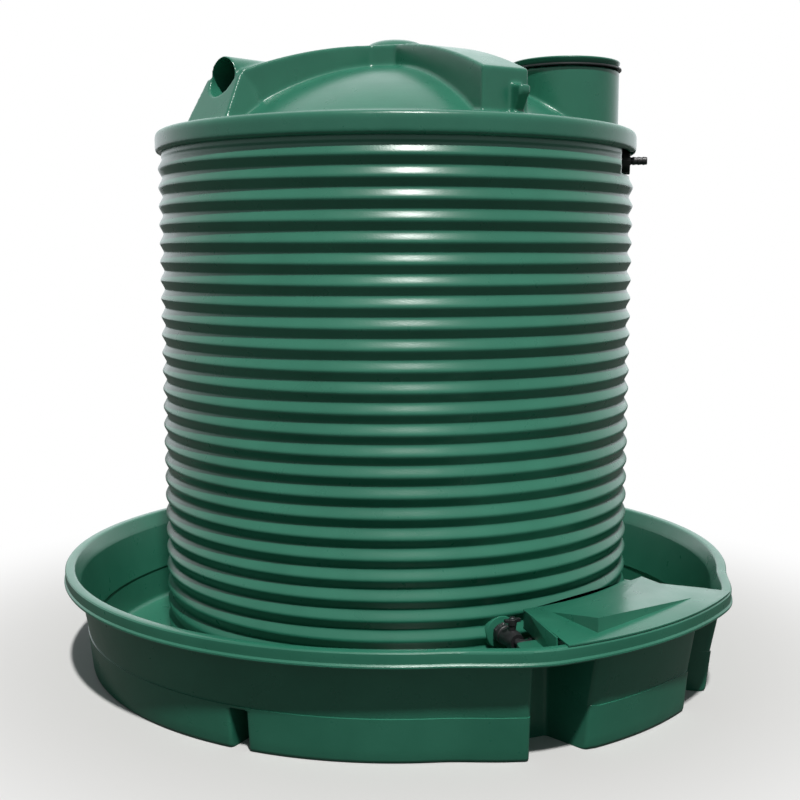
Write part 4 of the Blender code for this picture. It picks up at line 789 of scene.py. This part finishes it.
boss_place = Matrix.Translation(polar(BOSS_MIDDLE, BOSS_RIB)) @ rib_place(BOSS_AZIMUTH)
boss_place = boss_place @ Matrix.Translation((-BOSS_MIDDLE, 0.0, 0.0))
points = []
for side in (-0.5, 0.5):
    top, bottom = side * 0.200, side * 0.250
    points += [(0.655, top, BOSS_HEIGHT + 0.004), (0.715, top, BOSS_HEIGHT + 0.004)]
    points += [(0.646, bottom, 2.095), (0.690, bottom, 2.040), (0.805, bottom, 2.028)]
roof_shapes.append(hull_mesh(points, boss_place))
boss_axis = boss_place @ frame_at((0.0, 0.0, BOSS_HEIGHT), (1.0, 0.0, 0.0))
roof_shapes.append(rod_mesh(BOSS_RADIUS, BOSS_BACK, BOSS_FRONT, 64, boss_axis))
print("roof shapes with the boss:", len(roof_shapes))

# %% The lifting lugs and the manway's neck
LUG_WIDTH, LUG_OFFSET = 0.043, 0.042
NECK_REACH, NECK, NECK_TOP = 0.6565, 0.208, 2.270
NECK_WALL = 0.010

for azimuth in (PLAIN_RIB, PLAIN_RIB - 180.0):
    points = []
    for side in (-0.5, 0.5):
        across = LUG_OFFSET + side * LUG_WIDTH
        points += [(0.730, across, 2.035), (0.752, across, 2.035), (0.795, across, 2.110)]
        points += [(0.795, across, 2.136), (0.730, across, 2.146)]
    roof_shapes.append(hull_mesh(points, rib_place(azimuth)))
neck_place = Matrix.Translation((NECK_REACH, 0.0, 0.0))
roof_shapes.append(rod_mesh(NECK, 2.025, NECK_TOP, 128, neck_place))
print("roof shapes:", len(roof_shapes))

# %% Melting the roof
JOINING_GRID = 0.006
SOFTENING_GRID, SOFTENING_ROUNDS = 0.0050, 8

roof = gather("tank_roof", roof_shapes)
melt(roof, JOINING_GRID)
carve(roof, rod_mesh(BOSS_BORE, BOSS_BORE_END, 1.0, 64, boss_axis))
carve(roof, rod_mesh(NECK - NECK_WALL, 1.9, 2.4, 128, neck_place))
behind_lip = [(0.850, -0.065), (0.914, -0.065), (0.914, 0.065), (0.850, 0.065)]
carve(roof, prism_mesh(behind_lip, 1.930, 1.9745, rib_place(OVERFLOW_AZIMUTH)))
melt(roof, SOFTENING_GRID, SOFTENING_ROUNDS)
put("tank_roof", take_mesh(roof), "tank_and_trough", "green_plastic", "tank_shell", 60.0)

# %% [markdown]
# ## The manway's strainer and lid
#
# The manway is closed by a shallow lid, and a strainer basket hangs in the neck by its flange, so a thin black
# ring shows between the two. Both are turned shapes. The basket's slots are cut in one go.

# %% The strainer's turned shape
GAP = 0.0003  # between pieces that rest on each other
FLANGE_LOW = NECK_TOP + GAP
FLANGE_TOP = FLANGE_LOW + 0.008
BASKET_FOOT = FLANGE_LOW - 0.150

basket = [
    (0.0, BASKET_FOOT + 0.004), (0.1540, BASKET_FOOT + 0.004), (0.1575, BASKET_FOOT + 0.008),
    (0.1850, FLANGE_TOP - 0.003), (0.1880, FLANGE_TOP), (0.2150, FLANGE_TOP), (0.2165, FLANGE_TOP - 0.001),
    (0.2170, FLANGE_TOP - 0.0025), (0.2170, FLANGE_LOW + 0.002), (0.2155, FLANGE_LOW), (0.1900, FLANGE_LOW),
    (0.1615, BASKET_FOOT + 0.006), (0.1580, BASKET_FOOT + 0.001), (0.1540, BASKET_FOOT), (0.0, BASKET_FOOT),
]
strainer = gather("manway_basket", [turned_mesh(basket, 96, neck_place)])
print("strainer from", round(BASKET_FOOT, 3), "to", round(FLANGE_TOP, 3), "m")

# %% The strainer's slots
SLOT_ROWS, SLOTS_WIDTH = 7, 0.2752
SLOT_REACH, SLOT_MIDDLE, SLOT_HALF = 0.144, 0.012, 0.008

slots = []
for i in range(SLOT_ROWS):
    across = SLOTS_WIDTH * ((i + 0.5) / SLOT_ROWS - 0.5)
    reach = math.sqrt(SLOT_REACH**2 - across**2)
    for near, far in ((SLOT_MIDDLE, reach), (-reach, -SLOT_MIDDLE)):
        outline = []
        for end, first in ((near + SLOT_HALF, 0.5), (far - SLOT_HALF, -0.5)):
            for turn in evenly(first, first + 1.0, 12):
                angle = math.pi * turn
                outline.append((end + SLOT_HALF * math.cos(angle), across + SLOT_HALF * math.sin(angle)))
        slots.append(prism_mesh(outline, BASKET_FOOT - 0.01, BASKET_FOOT + 0.02, neck_place))
carve(strainer, take_mesh(gather("slots", slots)))
put("manway_basket", take_mesh(strainer), "strainer", "black_plastic", "manway_strainer", 35.0)

# %% The lid
LID_LOW = FLANGE_TOP + GAP
LID = [
    (0.0, 0.0260), (0.120, 0.0259), (0.1900, 0.0255), (0.2060, 0.0250), (0.2090, 0.0240), (0.2106, 0.0222),
    (0.2110, 0.0200), (0.2098, 0.0170), (0.2040, 0.0020), (0.2028, 0.0004), (0.2015, 0.0), (0.1965, 0.0),
    (0.1952, 0.0012), (0.1950, 0.0190), (0.1930, 0.0210), (0.1804, 0.0210), (0.1784, 0.0190),
    (0.1784, -0.0185), (0.1774, -0.0200), (0.1744, -0.0200), (0.1734, -0.0185), (0.1734, 0.0185),
    (0.1710, 0.0210), (0.0, 0.0210),
]
lid_mesh = turned_mesh([(radius, LID_LOW + height) for radius, height in LID], 128, neck_place)
put("manway_cap", lid_mesh, "lid", "green_plastic", "manway_lid", 50.0)

# %% [markdown]
# ## Nuts, the overflow's tail and the outlet's flat
#
# A real nut is turned first and gets its flats after, so its corners end in small arcs. A prism with a
# bevel doesn't show them. Here each point stands at whichever is nearer, the flat or the turned cone.

# %% A helper for nuts
def nut_mesh(sides, corner, bore, low, high, place, columns=96):
    """A nut from one height to another: flats round it, turned chamfers at both ends and a round bore."""
    fine = 0.0008  # the small chamfer at the bore and at the faces
    apothem = corner * math.cos(math.pi / sides)
    chamfer = (corner - apothem) * 0.7 + 0.001
    end = [(bore, fine), (bore + fine, 0.0), (apothem * 0.97, 0.0), (apothem * 1.01, fine), (corner, chamfer)]
    rows = [(radius, low + inset) for radius, inset in end]
    rows += [(radius, high - inset) for radius, inset in reversed(end)]
    rings = []
    for radius, height in rows:
        ring = []
        for k in range(columns):
            angle = 2 * math.pi * k / columns
            flat = apothem / math.cos(angle % (2 * math.pi / sides) - math.pi / sides)
            reach = min(radius, flat)
            ring.append((reach * math.cos(angle), reach * math.sin(angle), height))
        rings.append(ring)
    return mesh_from("nut", *skin(rings + rings[:1]), place)


# %% The overflow's nut and hose tail
TAIL_END = 0.9650

overflow_axis = frame_at((0.0, 0.0, OVERFLOW_HEIGHT), radial(OVERFLOW_AZIMUTH))
nut = nut_mesh(12, 0.0505, 0.0158, OVERFLOW_SEAT + GAP, OVERFLOW_SEAT + 0.0343, overflow_axis)
put("overflow_backnut", nut, "tank_and_trough", "black_plastic", "overflow_nut", 30.0)
tail = [(0.0100, TAIL_END - 0.0010), (0.0106, TAIL_END), (0.0128, TAIL_END), (0.0137, TAIL_END - 0.0015)]
for barb in (0.9620, 0.9430, 0.9240):
    tail += [(0.0140, barb), (0.0157, barb - 0.0120), (0.0156, barb - 0.0135), (0.0135, barb - 0.0145)]
tail += [(0.0135, 0.9050), (0.0155, 0.9042), (0.0155, 0.8534), (0.0280, 0.8534), (0.0280, 0.8474)]
tail += [(0.0100, 0.8474), tail[0]]
tail_mesh = turned_mesh(tail, 56, overflow_axis)
put("overflow_hose_tail", tail_mesh, "tank_and_trough", "black_plastic", "overflow_tail", 30.0)

# %% The outlet's nut and the flat it bears on
OUTLET_AZIMUTH, OUTLET_HEIGHT = 22.9, 0.304
PAD_FACE = 0.9180

outlet_axis = frame_at((0.0, 0.0, OUTLET_HEIGHT), radial(OUTLET_AZIMUTH))
nut = nut_mesh(6, 0.0380, 0.0253, PAD_FACE + GAP, PAD_FACE + 0.0183, outlet_axis)
put("outlet_backnut", nut, "tank_and_trough", "black_plastic", "outlet_nut", 30.0)
pad = [
    (0.0, PAD_FACE), (0.0520, PAD_FACE), (0.0548, 0.9170), (0.0560, 0.9145), (0.0568, 0.9080),
    (0.0580, 0.9035), (0.0590, 0.9000), (0.0590, 0.8900), (0.0, 0.8900),
]
put("outlet_flat", turned_mesh(pad, 72, outlet_axis), "tank_and_trough", "green_plastic", "tank_shell", 40.0)

# %% [markdown]
# ## The valve's lever
#
# The ball valve is opened by a short two-winged plastic lever on a hub. Moulded levers have no sharp edge
# anywhere, so the hub and wings are melted together, like the roof, on a grid of under a millimetre.

# %% Lever
VALVE_MIDDLE = 0.992
WING = [  # across, half width, underside, top
    (0.0040, 0.0100, 0.0562, 0.0678),
    (0.0270, 0.0118, 0.0580, 0.0695),
    (0.0288, 0.0098, 0.0590, 0.0688),
]

valve_place = polar(VALVE_MIDDLE, OUTLET_AZIMUTH, OUTLET_HEIGHT)
upright = frame_at(valve_place, (0.0, 0.0, 1.0), radial(OUTLET_AZIMUTH))
hub = [(0.0, 0.0472), (0.0142, 0.0472), (0.0149, 0.0480), (0.0149, 0.0678), (0.0140, 0.0688), (0.0, 0.0688)]
lever_shapes = [turned_mesh(hub, 48, upright)]
for side in (-1, 1):
    points = []
    for across, half, low, high in WING:
        for x in (-half * 0.6, half * 0.6):
            points += [(x, side * across, low), (x, side * across, high)]
    lever_shapes.append(hull_mesh(points, upright))
lever = gather("valve_lever", lever_shapes)
melt(lever, 0.0009, 2)
carve(lever, rod_mesh(0.0064, 0.0, 0.10, 40, upright))
put("valve_lever", take_mesh(lever), "handle", "black_plastic", "valve_handle", 45.0)

# %% [markdown]
# ## The cover over the float valve
#
# The cover is a loose moulding that lies on the rim and on the two folds. It has a flat flange, a skirt down
# either side, and a raised ridge of flat facets that gives the float room and sheds leaves. The facets could be
# sculpted, but they are flat on the real one, so hulls are joined and hollowed, and then every edge is rounded.

# %% Plan of the cover
COVER_LOW, COVER_TOP = 0.3923, 0.3983
COVER_INNER = 0.985
COVER_LEFT, COVER_RIGHT = (25.5, 22.7), (57.5, 60.0)  # azimuths of each side's inner and outer end


def cover_edge(azimuth):
    """The radius of the cover's outer edge, a little inside the rim's."""
    return RIM_RADIUS - 0.006 + bay_bulge(azimuth)


plan = [polar(cover_edge(azimuth), azimuth) for azimuth in evenly(COVER_LEFT[1], COVER_RIGHT[1], 44)]
plan += [polar(COVER_INNER, azimuth) for azimuth in evenly(COVER_RIGHT[0], COVER_LEFT[0], 40)]
cover = gather("bay_cover", [prism_mesh([(p.x, p.y) for p in plan], COVER_LOW, COVER_TOP)])
print("cover's plan:", len(plan), "points")

# %% The cover's skirts
SKIRT_LOW = 0.3313

for turn, (inner_azimuth, outer_azimuth) in ((1, COVER_LEFT), (-1, COVER_RIGHT)):
    skirt_end = 1.219 + bay_bulge(outer_azimuth)  # short of the trough's wall
    points = []
    for radius, azimuth in ((COVER_INNER, inner_azimuth), (skirt_end, outer_azimuth)):
        for offset in (0.002, 0.008):
            for height in (SKIRT_LOW, COVER_TOP - 0.001):
                points.append(polar(radius, azimuth + turn * math.degrees(offset / radius), height))
    weld(cover, hull_mesh(points))
print("skirts reach down to", SKIRT_LOW, "m")

# %% The cover's ridge and the room under it
RIDGE_ENDS = [(1.300, 29.1, 0.048), (1.065, 55.5, 0.032)]  # radius, azimuth, height above the flange
RIDGE_FEET = [(1.045, 29.3), (1.000, 56.0), (1.125, 57.4), (1.275, 54.3), (1.300, 29.1), (1.065, 55.5)]

ridge = [polar(radius, azimuth, COVER_TOP - 0.002) for radius, azimuth in RIDGE_FEET]
ridge += [polar(radius, azimuth, COVER_TOP + rise) for radius, azimuth, rise in RIDGE_ENDS]
weld(cover, hull_mesh(ridge))
middle = sum(ridge, Vector()) / len(ridge)
room = []
for point in ridge:
    inner = middle + (point - middle) * 0.92  # leaves a thin wall all round
    inner.z = COVER_LOW - 0.01 if point.z < COVER_TOP else point.z - 0.0085
    room.append(inner)
carve(cover, hull_mesh(room))
print("faces before the rounding:", len(cover.data.polygons))

# %% Rounding the cover's edges
def round_edges(holder, angle, width):
    """Adds a bevel to every edge that turns by more than an angle."""
    bevel = holder.modifiers.new("Rounded", "BEVEL")
    bevel.limit_method = "ANGLE"
    bevel.angle_limit = math.radians(angle)
    bevel.width = width
    bevel.segments = 2


round_edges(cover, 24.0, 0.0016)
apply_all(cover)
put("bay_cover", take_mesh(cover), "cover", "green_plastic", "valve_cover", 32.0)

# %% [markdown]
# ## The floor
#
# The object stands on a plain pale floor. A floor that shows would end in a visible edge, so away from the
# object it turns white for the camera, while near the object it stays a real surface that takes the shadow.
# What bounces off it onto the object is that of dry ground, or the undersides of the rings would go pale.

# %% Floor
HALF_FLOOR, UNDER_OBJECT = 40.0, -0.0005
FADE_FROM, FADE_TO = 1.3, 2.6  # metres from the middle

corners = [(x * HALF_FLOOR, y * HALF_FLOOR, UNDER_OBJECT) for x, y in ((-1, -1), (1, -1), (1, 1), (-1, 1))]
floor_mesh = bpy.data.meshes.new("floor")
floor_mesh.from_pydata(corners, [], [(0, 1, 2, 3)])
floor = bpy.data.objects.new("floor", floor_mesh)
bpy.context.scene.collection.objects.link(floor)
print("floor in place")

# %% The floor's material
pale = bpy.data.materials.new("pale_floor")
pale.use_nodes = True
nodes, links = pale.node_tree.nodes, pale.node_tree.links
shader = nodes["Principled BSDF"]
shader.inputs["Roughness"].default_value = 0.9
ray = add_node(nodes, "LightPath")
ground = add_node(nodes, "Mix")
ground.data_type = "RGBA"
ground.inputs["A"].default_value = (0.10, 0.10, 0.095, 1.0)
ground.inputs["B"].default_value = (0.66, 0.66, 0.66, 1.0)
links.new(ray.outputs["Is Camera Ray"], ground.inputs["Factor"])
links.new(ground.outputs["Result"], shader.inputs["Base Color"])
place = add_node(nodes, "TexCoord")
away = add_node(nodes, "VectorMath")
away.operation = "LENGTH"
links.new(place.outputs["Object"], away.inputs[0])
fade = add_node(nodes, "MapRange", From_Min=FADE_FROM, From_Max=FADE_TO)
fade.interpolation_type = "SMOOTHSTEP"
links.new(away.outputs["Value"], fade.inputs["Value"])
both = add_node(nodes, "Math")
both.operation = "MULTIPLY"
links.new(fade.outputs["Result"], both.inputs[0])
links.new(ray.outputs["Is Camera Ray"], both.inputs[1])
white = add_node(nodes, "Emission", Strength=1.0)
mix = add_node(nodes, "MixShader")
links.new(both.outputs["Value"], mix.inputs["Fac"])
links.new(shader.outputs["BSDF"], mix.inputs[1])
links.new(white.outputs["Emission"], mix.inputs[2])
links.new(mix.outputs["Shader"], nodes["Material Output"].inputs["Surface"])
floor_mesh.materials.append(pale)
print("floor fades to white from", FADE_FROM, "to", FADE_TO, "m")

# %% [markdown]
# ## Finishes on the pieces that keep their solid shape
#
# Small fittings have their right shape in the solid model already, so they only take a finish here, and a
# fine bevel where a moulded or machined edge would catch the light. The solid comes as loose triangles, which
# a bevel can't work on. So a Weld modifier first joins their corners, and a Decimate modifier makes one face of
# those that lie in one plane. Weighted normals then keep the flat faces looking flat beside their round edges.

# %% Finishes for the solid nodes
slot_of = {part["node"]: part["material_slot"] for part in frame["record"]["subparts"]}
for name, node in frame["nodes"].items():
    look = FINISHES[slot_of[name]]
    if not node.material_slots:
        node.data.materials.append(look)
    for holder in node.material_slots:
        holder.link = "OBJECT"
        holder.material = look
print("nodes with a finish:", len(frame["nodes"]))

# %% Fine bevels for the solid nodes that show
for name, node in frame["nodes"].items():
    if name not in remade:
        joined = node.modifiers.new("Joined corners", "WELD")
        joined.merge_threshold = 0.000005
        flat = node.modifiers.new("Flat faces", "DECIMATE")
        flat.decimate_type = "DISSOLVE"
        flat.angle_limit = math.radians(1.0)
        round_edges(node, 40.0, 0.0005)
        node.modifiers.new("Even shading", "WEIGHTED_NORMAL")
print("nodes with a bevel:", len(frame["nodes"]) - len(remade))
